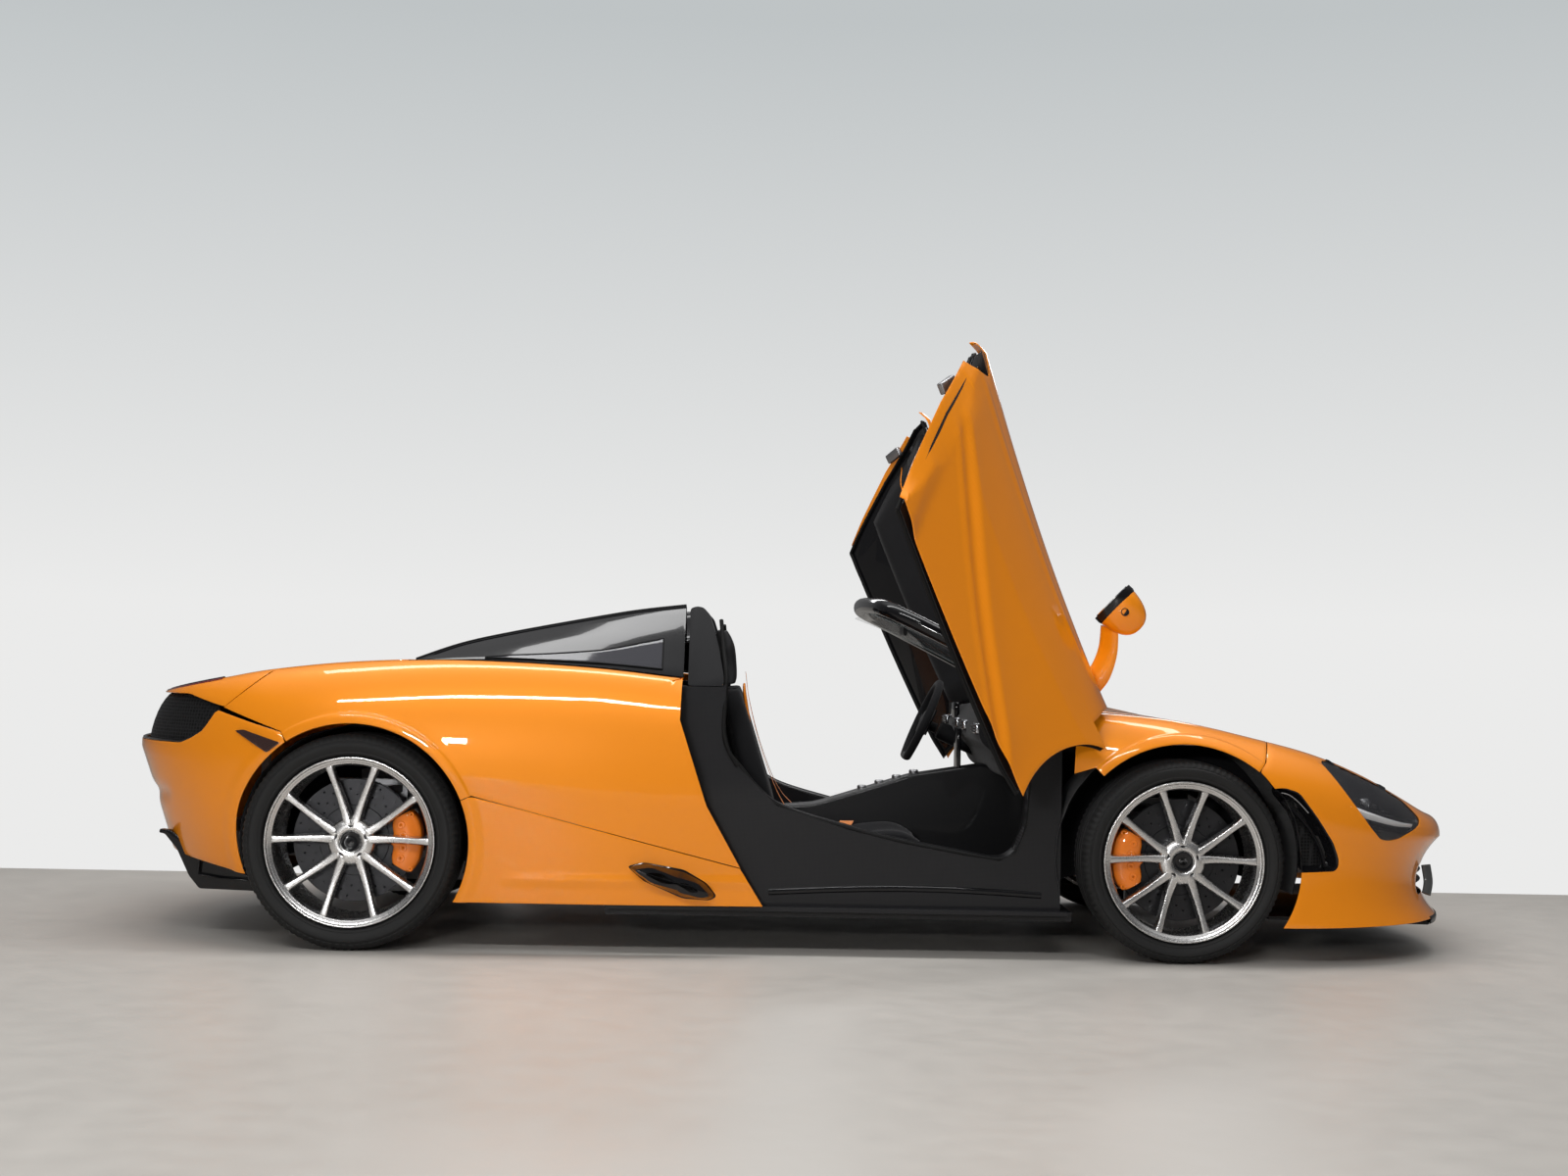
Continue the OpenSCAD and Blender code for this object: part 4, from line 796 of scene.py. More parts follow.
class BodySurface:
    """The car's right-hand outer surface: station s from tail to nose, level t from sill to shoulder and inboard."""

    @staticmethod
    def _value(i: int, c: int) -> float:
        """Column c of a station, mirrored past either end."""
        if 0 <= i <= LAST:
            return STATIONS[i][c]
        value = STATIONS[-i if i < 0 else 2 * LAST - i][c]
        return -value if c in MIRRORED else value

    def col(self, s: float, c: int) -> float:
        """Column c at station s."""
        i = min(int(math.floor(s)), LAST - 1)
        return spline(*(self._value(i + k, c) for k in (-1, 0, 1, 2)), s - i)

    @staticmethod
    def set_back(x: float, level: int) -> float:
        """How far a level stands back from the widest one at an end of the car."""
        if x > NOSE_FROM:
            end = (x - NOSE_FROM) / (STATIONS[-1][X] - NOSE_FROM)
            return -NOSE_BACK[level] * end * end
        if x < TAIL_FROM:
            end = (x - TAIL_FROM) / (STATIONS[0][X] - TAIL_FROM)
            return TAIL_BACK[level] * end * end
        return 0.0

    def s_at(self, x: float, top: bool = False) -> float:
        """Station at a given x, on the widest level or on the shoulder."""
        low, high = 0.0, float(LAST)
        for _ in range(HALVINGS):
            mid = (low + high) / 2
            here = self.col(mid, X)
            if here + (self.set_back(here, 2) if top else 0) < x:
                low = mid
            else:
                high = mid
        return (low + high) / 2

    def side(self, s: float, t: float) -> list[float]:
        """Point at level t from 0, the sill, through 1, the widest, to 2, the shoulder."""
        x = self.col(s, X)
        if t <= 1:
            curve = [(t - LOW_AT) * (t - 1) / LOW_AT, t * (t - 1) / (LOW_AT * (LOW_AT - 1)),
                     t * (t - LOW_AT) / (1 - LOW_AT)]
            back = self.set_back(x, 0) * curve[0] + self.set_back(x, 1) * curve[1]
            y = sum(self.col(s, c) * w for c, w in zip((SILL_Y, LOW_Y, WIDE_Y), curve))
            return [x + back, -y, lerp(self.col(s, SILL_Z), self.col(s, WIDE_Z), t)]
        a = math.radians(90 * (t - 1))
        c, q = max(math.cos(a), 0) ** ROUND, max(math.sin(a), 0) ** ROUND
        wide, crest = self.col(s, WIDE_Y), self.col(s, CREST_Y)
        return [x + self.set_back(x, 2) * (1 - c), -(crest + (wide - crest) * c),
                lerp(self.col(s, WIDE_Z), self.col(s, CREST_Z), q)]

    def t_at(self, s: float, z: float) -> float:
        """Level at height z."""
        sill, wide, crest = (self.col(s, c) for c in (SILL_Z, WIDE_Z, CREST_Z))
        if z <= wide:
            return (z - sill) / (wide - sill)
        return 1 + math.degrees(math.asin(min((z - wide) / (crest - wide), 1) ** (1 / ROUND))) / 90

    def at(self, x: float, z: float) -> tuple[float, float]:
        """Station and level at a place seen from the side."""
        s = self.s_at(x)
        return s, self.t_at(s, z)

    def top_z(self, x: float, y: float) -> float:
        """Height of the top surface."""
        s = self.s_at(x, True)
        return lerp(self.col(s, CREST_Z), self.col(s, MID_Z), ease(1 - abs(y) / max(self.col(s, CREST_Y), 1)))

    def inboard(self, s: float, d: float) -> list[float]:
        """The shoulder line moved inboard by d."""
        a, b, c = (self.side(min(max(k, 0), LAST), 2) for k in (s - 0.1, s + 0.1, s))
        n = math.hypot(b[0] - a[0], b[1] - a[1])
        x = c[0] - d * (b[1] - a[1]) / n
        y = min(c[1] + d * (b[0] - a[0]) / n, 0)
        return [x, y, self.top_z(x, y)]

    def surf(self, s: float, t: float) -> list[float]:
        """Any point: levels 0 to 2 are the side, 2 to 3 the strip inboard of the shoulder."""
        return self.side(s, t) if t <= 2 else self.inboard(s, STRIP_W * (t - 2))

    def side_mm(self, x: float, z: float, out: float = 0.0) -> Vector:
        """Point seen from the side at x and z, raised outwards."""
        s, t = self.at(x, z)
        point = Vector(self.side(s, t))
        if out:
            a, b = Vector(self.side(min(s + 0.05, LAST), t)), Vector(self.side(s, min(t + 0.05, 2)))
            c = Vector(self.side(s, max(t - 0.05, 0)))
            normal = (b - c).cross(a - point) if s < LAST - 0.1 else Vector((1, 0, 0))
            normal.normalize()
            point += normal * (out if normal.y < 0.2 else -out)
        return point


BODY = BodySurface()


def along(path: Sequence[Point], u: float) -> list[float]:
    """Point of a polyline whose vertices carry their own parameter."""
    for a, b in zip(path, path[1:]):
        if u <= b[0] or b is path[-1]:
            f = (u - a[0]) / (b[0] - a[0])
            return [lerp(a[1], b[1], f), lerp(a[2], b[2], f)]
    return list(path[-1][1:])


def arch(axle: Point, radius: float, degrees: float) -> tuple[float, float]:
    """Point of a wheel arch seen from the side."""
    a = math.radians(degrees)
    return axle[0] + radius * math.cos(a), axle[1] + radius * math.sin(a)


def arch_x(axle: Point, radius: float, z: float, way: int) -> float:
    """x of a wheel arch at a height, behind (-1) or ahead (1) of the axle."""
    return axle[0] + way * math.sqrt(max(radius * radius - (z - axle[1]) ** 2, 0))


def raised(rows: Rows, heights: Sequence[Sequence[float]], sign: float = 1) -> Rows:
    """Rows of points moved outwards along their surface's normal by the heights."""
    grid = np.array(rows, dtype=float)
    along_i, along_j = np.gradient(grid, axis=0), np.gradient(grid, axis=1)
    normal = np.cross(along_i, along_j) * sign
    normal /= np.maximum(np.linalg.norm(normal, axis=2, keepdims=True), 1e-9)
    return (grid + normal * np.array(heights)[..., None]).tolist()


# Rows next to a wheel arch: distance from its edge, and how far the flange stands proud
FLANGE = ((0.0, 0.0), (1.5, 3.5), (5.0, 4.5), (26.0, 4.5), (31.0, 3.2), (34.0, 0.6), (38.0, 0.0))
FLANGE_H = 4.5
VENT = ((1400, 592), (1508, 568), (1560, 572), (1609, 557), (1672, 475), (1728, 395), (1748, 343), (1746, 316),
        (1732, 304), (1500, 297), (1400, 297))
VENT_BOWL = ((1516, 583), (1560, 572), (1609, 557), (1672, 475), (1728, 395), (1748, 343), (1746, 316), (1732, 304),
             (1622, 298), (1620, 340), (1612, 410), (1592, 480), (1560, 540))
LAMP = ((1707, 649), (1716, 656), (1740, 653), (1802, 628), (1885, 592), (1950, 561), (2012, 527), (2060, 480),
        (2074, 462), (2068, 446), (2045, 432), (1969, 404), (1930, 399), (1898, 405), (1860, 445), (1796, 528))
GRILLE = ((-620, 205), (-560, 300), (-300, 325), (300, 325), (560, 300), (620, 205))
INTAKE = ((-546, 284), (-491, 297), (-363, 275), (-290, 233), (-256, 189), (-279, 176), (-367, 182), (-490, 236))
TIP = (-1862, 762)
SEAM, SHUT = 3.0, 7.0
PANEL = 3.0


def flange_height(x: float, z: float) -> float:
    """How far the flange round the rear arch stands proud at a place seen from the side."""
    reach = math.hypot(x - REAR_AXLE[0], z - REAR_AXLE[1]) - REAR_ARCH_R
    return FLANGE_H * ease((FLANGE[-1][0] - reach) / 7) * ease(reach / 3)


def rounded(outline: Outline, radius: float = 12, count: int = 4) -> list[list[float]]:
    """An outline with its corners rounded."""
    found = []
    total = len(outline)
    for i in range(total):
        p, a, b = (Vector(outline[k % total]) for k in (i, i - 1, i + 1))
        into, out = (a - p), (b - p)
        r = min(radius, into.length / 2.2, out.length / 2.2)
        start, end = p + into.normalized() * r, p + out.normalized() * r
        for k in range(count + 1):
            f = k / count
            found.append(list(start * (1 - f) ** 2 + p * 2 * f * (1 - f) + end * f * f))
    return found


def mirrored_rows(rows: Rows) -> Rows:
    """Rows carried on over the centreline to the left."""
    return rows + [[(p[0], -p[1], p[2]) for p in row] for row in reversed(rows[:-1])]


@dataclass
class Fenders:
    """Front fenders with their wheel-arch flanges."""

    arch_from: float = 134
    arch_to: float = 51
    rear: tuple[float, float] = (884, 605)
    top_x: float = 916
    rows: int = 56

    def build(self) -> None:
        """Models and dresses both fenders."""
        level = lambda x, z: BODY.t_at(BODY.s_at(x), z)
        edge = [(0, self.rear[0], level(*self.rear)), (0.16, 890, level(890, 690)), (0.3, self.top_x, 2),
                (0.42, self.top_x, 3), (1, 1592, 3)]
        rows, heights = [], []
        for u in steps(self.rows):
            a = lerp(self.arch_from, self.arch_to, u)
            x, t_out = along(edge, u)
            outer = (BODY.s_at(x), t_out)
            line, lift = [], []
            for d, h in FLANGE:
                line.append(BODY.surf(*BODY.at(*arch(FRONT_AXLE, FRONT_ARCH_R + d, a))))
                lift.append(h)
            start = BODY.at(*arch(FRONT_AXLE, FRONT_ARCH_R + FLANGE[-1][0], a))
            for v in steps(26)[1:]:
                line.append(BODY.surf(lerp(start[0], outer[0], v), lerp(start[1], outer[1], v)))
                lift.append(0.0)
            rows.append(line)
            heights.append(lift)
        skin = panel("right_fender_skin", raised(rows, heights), PANEL)
        dress_pair(skin, ORANGE, BOTH, (("front_fenders",), ("front_fenders",)))


@dataclass
class Quarters:
    """Rear quarters, side skirts with their intakes, and the arch flanges."""

    arch_from: float = 22
    arch_to: float = 123
    skirt_arch: float = -29
    skirt_front: tuple[float, float] = (-177, 279)

    def quarter(self) -> None:
        """Models and dresses both quarters."""
        edge = [(0, self.skirt_front[0] - SHUT, self.skirt_front[1] + SEAM), (0.14, -289 - SHUT, 481),
                (0.3, -379 - SHUT, 753), (0.38, -372 - SHUT, 990), (0.9, -1700, 990),
                (1, TIP[0] + SEAM, TIP[1] + SEAM)]
        crest = lambda x: BODY.col(BODY.s_at(x), CREST_Z)
        rows, heights = [], []
        for u in steps(80):
            a = lerp(self.arch_from, self.arch_to, u)
            x, z = along(edge, u)
            z = min(z, crest(x) - SEAM) if u < 0.9 else lerp(crest(-1700) - SEAM, TIP[1] + SEAM, (u - 0.9) * 10)
            line, lift = [], []
            for d, h in FLANGE:
                line.append(BODY.side_mm(*arch(REAR_AXLE, REAR_ARCH_R + d, a)))
                lift.append(h)
            start = arch(REAR_AXLE, REAR_ARCH_R + FLANGE[-1][0], a)
            for v in steps(30)[1:]:
                f = math.sin(v * math.pi / 2)
                line.append(BODY.side_mm(lerp(start[0], x, f), lerp(start[1], z, f)))
                lift.append(0.0)
            rows.append(line)
            heights.append(lift)
        skin = panel("right_quarter_skin", raised(rows, heights, -1), PANEL, flip=True)
        dress_pair(skin, ORANGE, BOTH, (("rear_quarters",), ("rear_quarters",)))

    def skirt(self) -> None:
        """Models and dresses both skirts with the crease along them and the intake cut through."""
        top_rear = arch(REAR_AXLE, REAR_ARCH_R, self.arch_from)
        knee = arch(REAR_AXLE, REAR_ARCH_R + FLANGE[-1][0], self.arch_from)
        end = (self.skirt_front[0] - SHUT, self.skirt_front[1] + SEAM)
        low_rear = arch(REAR_AXLE, REAR_ARCH_R, self.skirt_arch)
        rows, heights = [], []
        for u in steps(60):
            line, lift = [], []
            for v in steps(36):
                x_top = lerp(top_rear[0], end[0], u)
                if x_top < knee[0]:
                    z_top = lerp(top_rear[1], knee[1], (x_top - top_rear[0]) / (knee[0] - top_rear[0]))
                else:
                    z_top = lerp(knee[1], end[1], (x_top - knee[0]) / (end[0] - knee[0]))
                top = (x_top, z_top - SEAM)
                low = (lerp(low_rear[0], -102 - SHUT, u), 158)
                z, x = lerp(low[1], top[1], v), lerp(low[0], top[0], v)
                bow = arch_x(REAR_AXLE, REAR_ARCH_R, z, 1) - lerp(low_rear[0], top_rear[0], v)
                x += bow * (1 - u) ** 3
                line.append(BODY.side_mm(x, z))
                crease = 4.5 * max(0.0, 1 - abs(z - 235) / 26) * ease((x + 980) / 120)
                lift.append(flange_height(x, z) + crease)
            rows.append(line)
            heights.append(lift)
        skin = panel("right_skirt_skin", raised(rows, heights), PANEL, edge=0)
        trim_with(skin, prism("intake_cut", rounded(INTAKE, 14), Axis.Y, -1000, -700))
        soften(skin, 0.0012, 2, 50)
        dress_pair(skin, ORANGE, BOTH, (("side_skirts",), ("side_skirts",)))
        self.intake()

    def intake(self) -> None:
        """Models the intake's lip, its dark throat and the vane across it."""
        ring = rounded(INTAKE, 14)
        lip = []
        middle = middle_of(INTAKE)
        for inset, depth in ((1.5, 0.5), (6, -1.0), (8, -12), (26, -42), (60, -46)):
            line = []
            for p in [*ring, ring[0]]:
                q = Vector(p)
                q += (middle - q).normalized() * min(inset, (middle - q).length * 0.96)
                line.append(BODY.side_mm(q[0], q[1]) - Vector((0, -depth, 0)))
            lip.append(line)
        throat = sheet_of("right_intake_throat", lip)
        merge(throat, outward=False)
        apply(throat, "SOLIDIFY", thickness=0.002, offset=0)
        dress_pair(soften(throat), GLOSS_BLACK, BOTH)
        path = [BODY.side_mm(x, z) + Vector((0, 10, 0)) for x,
                z in flow([(-525, 272), (-440, 243), (-360, 222), (-275, 205)], 14)]
        vane = tube("right_intake_vane", path, 3, 9, 12, (0, -1, 0.3))
        dress_pair(soften(vane), SATIN_BLACK, BOTH)

    def build(self) -> None:
        """Builds quarters and skirts."""
        self.quarter()
        self.skirt()


@dataclass
class Nose:
    """Front bumper with its openings, the splitter blade, grille and bonnet."""

    arch_to: float = 51
    fender_top: float = 1592
    bonnet_rear: float = 1010

    def start(self, t: float) -> float:
        """Station of the bumper's rear edge at a level."""
        foot, knee = (arch(FRONT_AXLE, FRONT_ARCH_R + d, self.arch_to) for d in (0, FLANGE[-1][0]))
        s_knee, t_knee = BODY.at(*knee)
        if t >= t_knee:
            s = lerp(s_knee, BODY.s_at(self.fender_top), (t - t_knee) / (3 - t_knee))
            return BODY.s_at(BODY.col(s, X) + SEAM)
        z = BODY.side(s_knee, t)[2]
        if z > foot[1]:
            return BODY.s_at(lerp(foot[0], knee[0], (z - foot[1]) / (knee[1] - foot[1])) + SEAM)
        return BODY.s_at(max(arch_x(FRONT_AXLE, FRONT_ARCH_R, z, 1), 1475) + SEAM)

    def bumper(self) -> None:
        """Models and dresses the bumper."""
        levels = [2 * k / 44 for k in range(45)] + [2 + k / 8 for k in range(1, 9)]
        starts = [self.start(t) for t in levels]
        rows = [[BODY.surf(lerp(s0, LAST, u), t) for s0, t in zip(starts, levels)] for u in steps(56)]
        skin = panel("bumper_skin", mirrored_rows(rows), PANEL, edge=0)
        for side in Side:
            reach = sorted((side.value * 700, side.value * 1100))
            trim_with(skin, prism("vent_cut", rounded(VENT, 16), Axis.Y, *reach))
            reach = sorted((side.value * 250, side.value * 1100))
            trim_with(skin, prism("lamp_cut", rounded(LAMP, 10), Axis.Y, *reach))
        trim_with(skin, prism("grille_cut", rounded(GRILLE, 30), Axis.X, 1950, 2450))
        dress(soften(skin, 0.0015, 2, 40), ORANGE, "body", ("front_bumper",))

    def inlay(self, name: str, outline: Outline, depth: float, grow: float, lip: float, finish: Finish) -> None:
        """A dark bowl behind an opening of the bumper's side.

        Args:
            name: the piece's name, starting with right_.
            outline: the opening, as x and z.
            depth: how far the bowl's floor lies behind the skin.
            grow: how far its rim reaches past the opening.
            lip: depth of the rim.
            finish: its finish.
        """
        ring = rounded(outline, 14)
        centre = middle_of(ring)
        rows = []
        for reach, back in ((grow, lip), (-2.0, lip + 2), (-10.0, depth * 0.7), (-26.0, depth), (-70.0, depth + 6),
                            (-400, depth + 8)):
            line = []
            for p in [*ring, ring[0]]:
                q = Vector(p)
                run = centre - q
                q += run.normalized() * max(min(-reach, run.length * 0.97), -40)
                line.append(BODY.side_mm(q[0], q[1], -back))
            rows.append(line)
        bowl = sheet_of(name, rows)
        merge(bowl, outward=False)
        apply(bowl, "SOLIDIFY", thickness=0.002, offset=0)
        dress_pair(soften(bowl), finish, BOTH)

    def openings(self) -> None:
        """Models what lies in the vents, the lamps' bowls and the grille."""
        self.inlay("right_vent_bowl", VENT_BOWL, 46, 5, 4.2, GLOSS_BLACK)
        self.inlay("right_lamp_bowl", LAMP, 52, 5, 4.2, GLOSS_BLACK)
        blade = [BODY.side_mm(x, z, -14) for x, z in flow([(1548, 556), (1575, 550), (1606, 528), (1640, 492)], 16)]
        dress_pair(soften(tube("right_vent_blade", blade, 3.5, 12, 12, (0, -1, 0.4))), GREY_TRIM, BOTH)
        rib = [BODY.side_mm(x, z, -22) for x, z in flow([(1560, 530), (1640, 452), (1690, 380), (1712, 318)], 18)]
        dress_pair(soften(tube("right_vent_rib", rib, 6, 14, 12, (0, -1, 0))), SATIN_BLACK, BOTH)
        net = [[BODY.side_mm(lerp(x0, x1, f), z, -40) for f in steps(10)] for x0, x1, z in
               ((1558, 1592, 540), (1592, 1640, 480), (1614, 1680, 410), (1622, 1715, 350), (1622, 1715, 312))]
        dress_pair(panel("right_vent_mesh", net, 2, edge=0), BLACK_MESH, BOTH)
        self.lamps()
        self.grille()

    def lamps(self) -> None:
        """Models each lamp's light bar, its projectors, inner blade and clear cover."""
        bar_path = flow([(1788, 508), (1858, 486), (1930, 466), (1995, 452), (2046, 446)], 20)
        bar = [BODY.side_mm(x, z, -13) for x, z in bar_path]
        dress_pair(soften(tube("right_light_bar", bar, 7.5, 15, 14, (0, -0.6, 1), lambda u: 1 - 0.6 * u, 0.7)), LED,
                   BOTH, (("headlights",), ("headlights",)))
        brow = [BODY.side_mm(x, z + 20, -14) for x, z in bar_path]
        dress_pair(soften(tube("right_lamp_brow", brow, 9, 4, 12, (0, -0.6, 1), lambda u: 1 - 0.5 * u)),
                   SATIN_BLACK,
                   BOTH)
        fins = [[BODY.side_mm(x + k * 10, z, -16 - 20 * k) for k in (0, 1)] for x, z in
                flow([(1745, 615), (1790, 560), (1830, 510), (1870, 470)], 12)]
        dress_pair(panel("right_lamp_fin", fins, 2), SATIN_BLACK, BOTH)
        for k, (x, z, r) in enumerate(((1868, 532, 15), (1908, 512, 13), (1945, 494, 11))):
            spot = BODY.side_mm(x, z, -24)
            face = lambda rr, a, d, c=spot: (c.x + rr * math.cos(a) + d * 0.55, c.y - d * 0.83,
                                             c.z + rr * math.sin(a))
            cup = turned(f"right_projector_{k + 1}", [(0.01, -8), (r, -8), (r, 3), (r * 0.86, 5), (r * 0.8, 0),
                    (r * 0.4, 3), (0.01, 4.5)], face, 28)
            dress_pair(soften(cup), SATIN_BLACK if k else GREY_TRIM, BOTH)
        rows = [[BODY.side_mm(lerp(1690, 2090, u), lerp(390, 670, v), -1.2) for v in steps(18)] for u in steps(26)]
        cover = panel("right_lamp_cover", rows, 2, edge=0)
        merge(cover, outward=True)
        trim_with(cover, prism("cover_cut", rounded(LAMP, 10), Axis.Y, -1100, -250), "INTERSECT")
        dress_pair(soften(cover), LAMP_COVER, BOTH)

    def grille(self) -> None:
        """Models the mesh and blades in the nose, and the posts at its sides."""
        rows = [[(2180 - 0.00045 * y * y - 8 * (1 - v), y, lerp(180, 335, v)) for v in steps(8)]
                for y in range(-600, 601, 40)]
        dress(panel("grille_mesh_panel", rows, 2, edge=0), BLACK_MESH, "body")
        for k, (z, reach) in enumerate(((232, 560), (266, 540), (298, 470))):
            path = [(2222 - 0.00052 * y * y, y, z) for y in np.linspace(-reach, reach, 41)]
            dress(soften(tube(f"grille_blade_{k + 1}", path, 12, 3, 12)), SATIN_BLACK, "body")
        for side in Side:
            path = [(2128, side.value * 572, 205), (2140, side.value * 552, 245), (2136, side.value * 536, 300)]
            post = tube(f"{side.word}_grille_post", flow(path, 10), 16, 5, 12, (0, side.value, 0))
            dress(soften(post), SHADOW_GREY, "body")

    def splitter(self) -> None:
        """Models the splitter's blade with a turned-up edge."""
        rim = [BODY.side(20 + k * 0.1, 0) for k in range(int((LAST - 20) * 10) + 1)]
        half = [(p[0] - 6, p[1] * 0.992) for p in rim]
        ring = [(1600, -560), *half, *[(x, -y) for x, y in reversed(half[:-1])], (1600, 560)]
        dress(soften(prism("splitter_blade", ring, Axis.Z, 108, 120), 0.004, 3, 40), DARK_CARBON, "body")
        rows = [[(p[0] - 4 + out, p[1] * (1 + out / 2200), z) for out, z in ((-26, 121), (-10, 122), (-3, 126),
                (0, 134), (2, 131), (3, 122), (0, 112))]
                for p in [*rim, *[(q[0], -q[1], q[2]) for q in reversed(rim[:-1])]]]
        dress(panel("splitter_lip", rows, 2.5, edge=0.0008), DARK_CARBON, "body")

    def bonnet(self) -> None:
        """Models the bonnet with two shallow channels down it."""
        s0 = BODY.s_at(self.bonnet_rear)
        stations = [lerp(s0, 21, u) for u in steps(40)] + [21.2, 21.35, 21.5, 21.7]
        rows, heights = [], []
        for s in stations:
            p = BODY.inboard(s, STRIP_W + SHUT)
            line, lift = [], []
            for f in [k / 16 for k in range(-16, 17)]:
                y = -p[1] * f
                line.append((p[0], y, BODY.top_z(p[0], y)))
                dip = math.exp(-((abs(y) - 300 * (1 - 0.45 * ease((p[0] - 1100) / 900))) / 70) ** 2)
                lift.append(-9 * dip * ease((p[0] - 1030) / 160) * ease((2120 - p[0]) / 260))
            rows.append(line)
            heights.append(lift)
        dress(panel("bonnet_skin", raised(rows, heights), PANEL), ORANGE, "bonnet", ("bonnet",))

    def build(self) -> None:
        """Builds the nose."""
        self.bumper()
        self.openings()
        self.splitter()
        self.bonnet()


@dataclass
class Tail:
    """Rear bumper, lamp band, deck, wing and diffuser."""

    foot: tuple[float, float] = field(default_factory=lambda: arch(REAR_AXLE, REAR_ARCH_R, 123))
    knee: tuple[float, float] = field(default_factory=lambda: arch(REAR_AXLE, REAR_ARCH_R + FLANGE[-1][0], 123))
    wing_x: tuple[float, float] = (-2090, -1860)
    wing_half: float = 480
    band_x: float = -1890
    band_top: float = 1.93

    def edge_z(self, x: float) -> float:
        """Height of the bumper's upper edge."""
        if x > TIP[0]:
            return lerp(self.knee[1], TIP[1], (x - self.knee[0]) / (TIP[0] - self.knee[0])) - SEAM
        if x > -1935:
            return lerp(TIP[1], 692, (x - TIP[0]) / (-1935 - TIP[0])) - SEAM
        return (lerp(692, 648, (x + 1935) / -85) - SEAM) if x > -2020 else 645

    def bumper(self) -> None:
        """Models the bumper with the flange round the arch and a ledge under the lamps."""
        s0 = BODY.s_at(self.knee[0] - SEAM)
        rows, heights = [], []
        for u in steps(60):
            s1 = lerp(s0, 0, u)
            t1 = BODY.t_at(s1, self.edge_z(BODY.col(s1, X)))
            line, lift = [], []
            for v in steps(34):
                t = t1 * v
                z = BODY.side(s1, t)[2]
                if z < self.foot[1]:
                    x_edge = arch_x(REAR_AXLE, REAR_ARCH_R, z, -1)
                else:
                    x_edge = lerp(self.foot[0], self.knee[0],
                                  (z - self.foot[1]) / (self.knee[1] - self.foot[1])) - SEAM
                s = lerp(BODY.s_at(x_edge), 0, u)
                p = BODY.side(s, t)
                line.append(p)
                groove = 10 * math.exp(-((z - 470) / 26) ** 2) * ease((-2050 - p[0]) / 60)
                lift.append(flange_height(p[0], p[2]) - groove)
            rows.append(line)
            heights.append(lift)
        half = raised(rows, heights, -1)
        skin = panel("rear_bumper_skin", mirrored_rows(half), PANEL, flip=True)
        dress(skin, ORANGE, "body", ("rear_bumper",))
        ledge = [Vector(row[-1]) + Vector((6, 4, 4)) for row in half if row[-1][0] < TIP[0] - 4]
        ledge += [Vector((p.x, -p.y, p.z)) for p in reversed(ledge[:-1])]
        dress(soften(tube("ledge_trim", ledge, 5, 4, 10)), GLOSS_BLACK, "body")

    def band_edge(self, x: float) -> float:
        """Lower edge of the lamp band."""
        if x > -1935:
            return lerp(765, 692, (x + 1862) / -73)
        return lerp(692, 640, (x + 1935) / -85) if x > -2020 else 640

    def band_line(self, level: float, back: float) -> list[Vector]:
        """Points across the tail along the lamp band.

        Args:
            level: 0 on the band's lower edge, 1 on its upper one.
            back: how far the line lies inside the skin.

        Returns:
            The points from right to left.
        """
        found = []
        for u in steps(34):
            s = lerp(BODY.s_at(self.band_x), 0, u)
            low = BODY.t_at(s, self.band_edge(BODY.col(s, X)))
            p = Vector(BODY.side(s, lerp(low, self.band_top, level)))
            inwards = back * abs(math.cos(math.atan2(p.y, -p.x - 1700)))
            found.append(Vector((p.x + inwards, p.y * (1 - back / 1400), p.z)))
        return found + [Vector((p.x, -p.y, p.z)) for p in reversed(found[:-1])]

    def lamps(self) -> None:
        """Models the mesh band, the thin lamp along its top and the tail pipes."""
        columns = list(zip(*[self.band_line(v, 30 + 8 * math.sin(math.pi * v)) for v in steps(8)]))
        mesh = panel("tail_mesh", [list(c) for c in columns], 2, flip=True, edge=0)
        dress(mesh, BLACK_MESH, "body", ("tail_lights",))
        for side in Side:
            path = [Vector((p.x, side.value * abs(p.y), p.z)) for p in self.band_line(0.9, 8)[:24]]
            dress(soften(tube(f"{side.word}_tail_lamp", path, 7, 5, 12)), RED_LAMP, "body")
            path = [Vector((p.x, side.value * abs(p.y), p.z)) for p in self.band_line(0.97, 10)[:35]]
            dress(soften(tube(f"{side.word}_tail_brow", path, 9, 6, 12)), GLOSS_BLACK, "body")
            out = lambda r, a, d, k=side.value: (-2205 - d, k * 150 + r * math.cos(a), 700 + r * math.sin(a))
            pipe = turned(f"{side.word}_tail_pipe", [(52, -60), (52, 12), (49, 14), (46, 12), (46, -50), (2, -52),
                    (2, -60)], out, 48)
            dress(soften(pipe), GREY_TRIM, "body")

    def reflector(self) -> None:
        """Models the smoked marker in each quarter's tail."""
        ring = rounded([(-1812, 693), (-1782, 697), (-1656, 659), (-1700, 626)], 8)
        rows = [[BODY.side_mm(lerp(-1830, -1640, u), lerp(610, 710, v), 3.2) for v in steps(8)] for u in steps(16)]
        marker = panel("right_side_marker", rows, 5, flip=True, edge=0)
        merge(marker)
        trim_with(marker, prism("marker_cut", ring, Axis.Y, -1100, -600), "INTERSECT")
        dress_pair(soften(marker, 0.0015), REFLECTOR, BOTH)

    @staticmethod
    def lamp_top(x: float) -> float:
        """Height of the deck's lower edge over the quarters and the lamps."""
        if x > -1700:
            return 2000
        if x > TIP[0]:
            return lerp(BODY.col(BODY.s_at(-1700), CREST_Z), TIP[1], (x + 1700) / (TIP[0] + 1700)) + SEAM
        return lerp(TIP[1] + 6, 806, min((x - TIP[0]) / (-2010 - TIP[0]), 1))

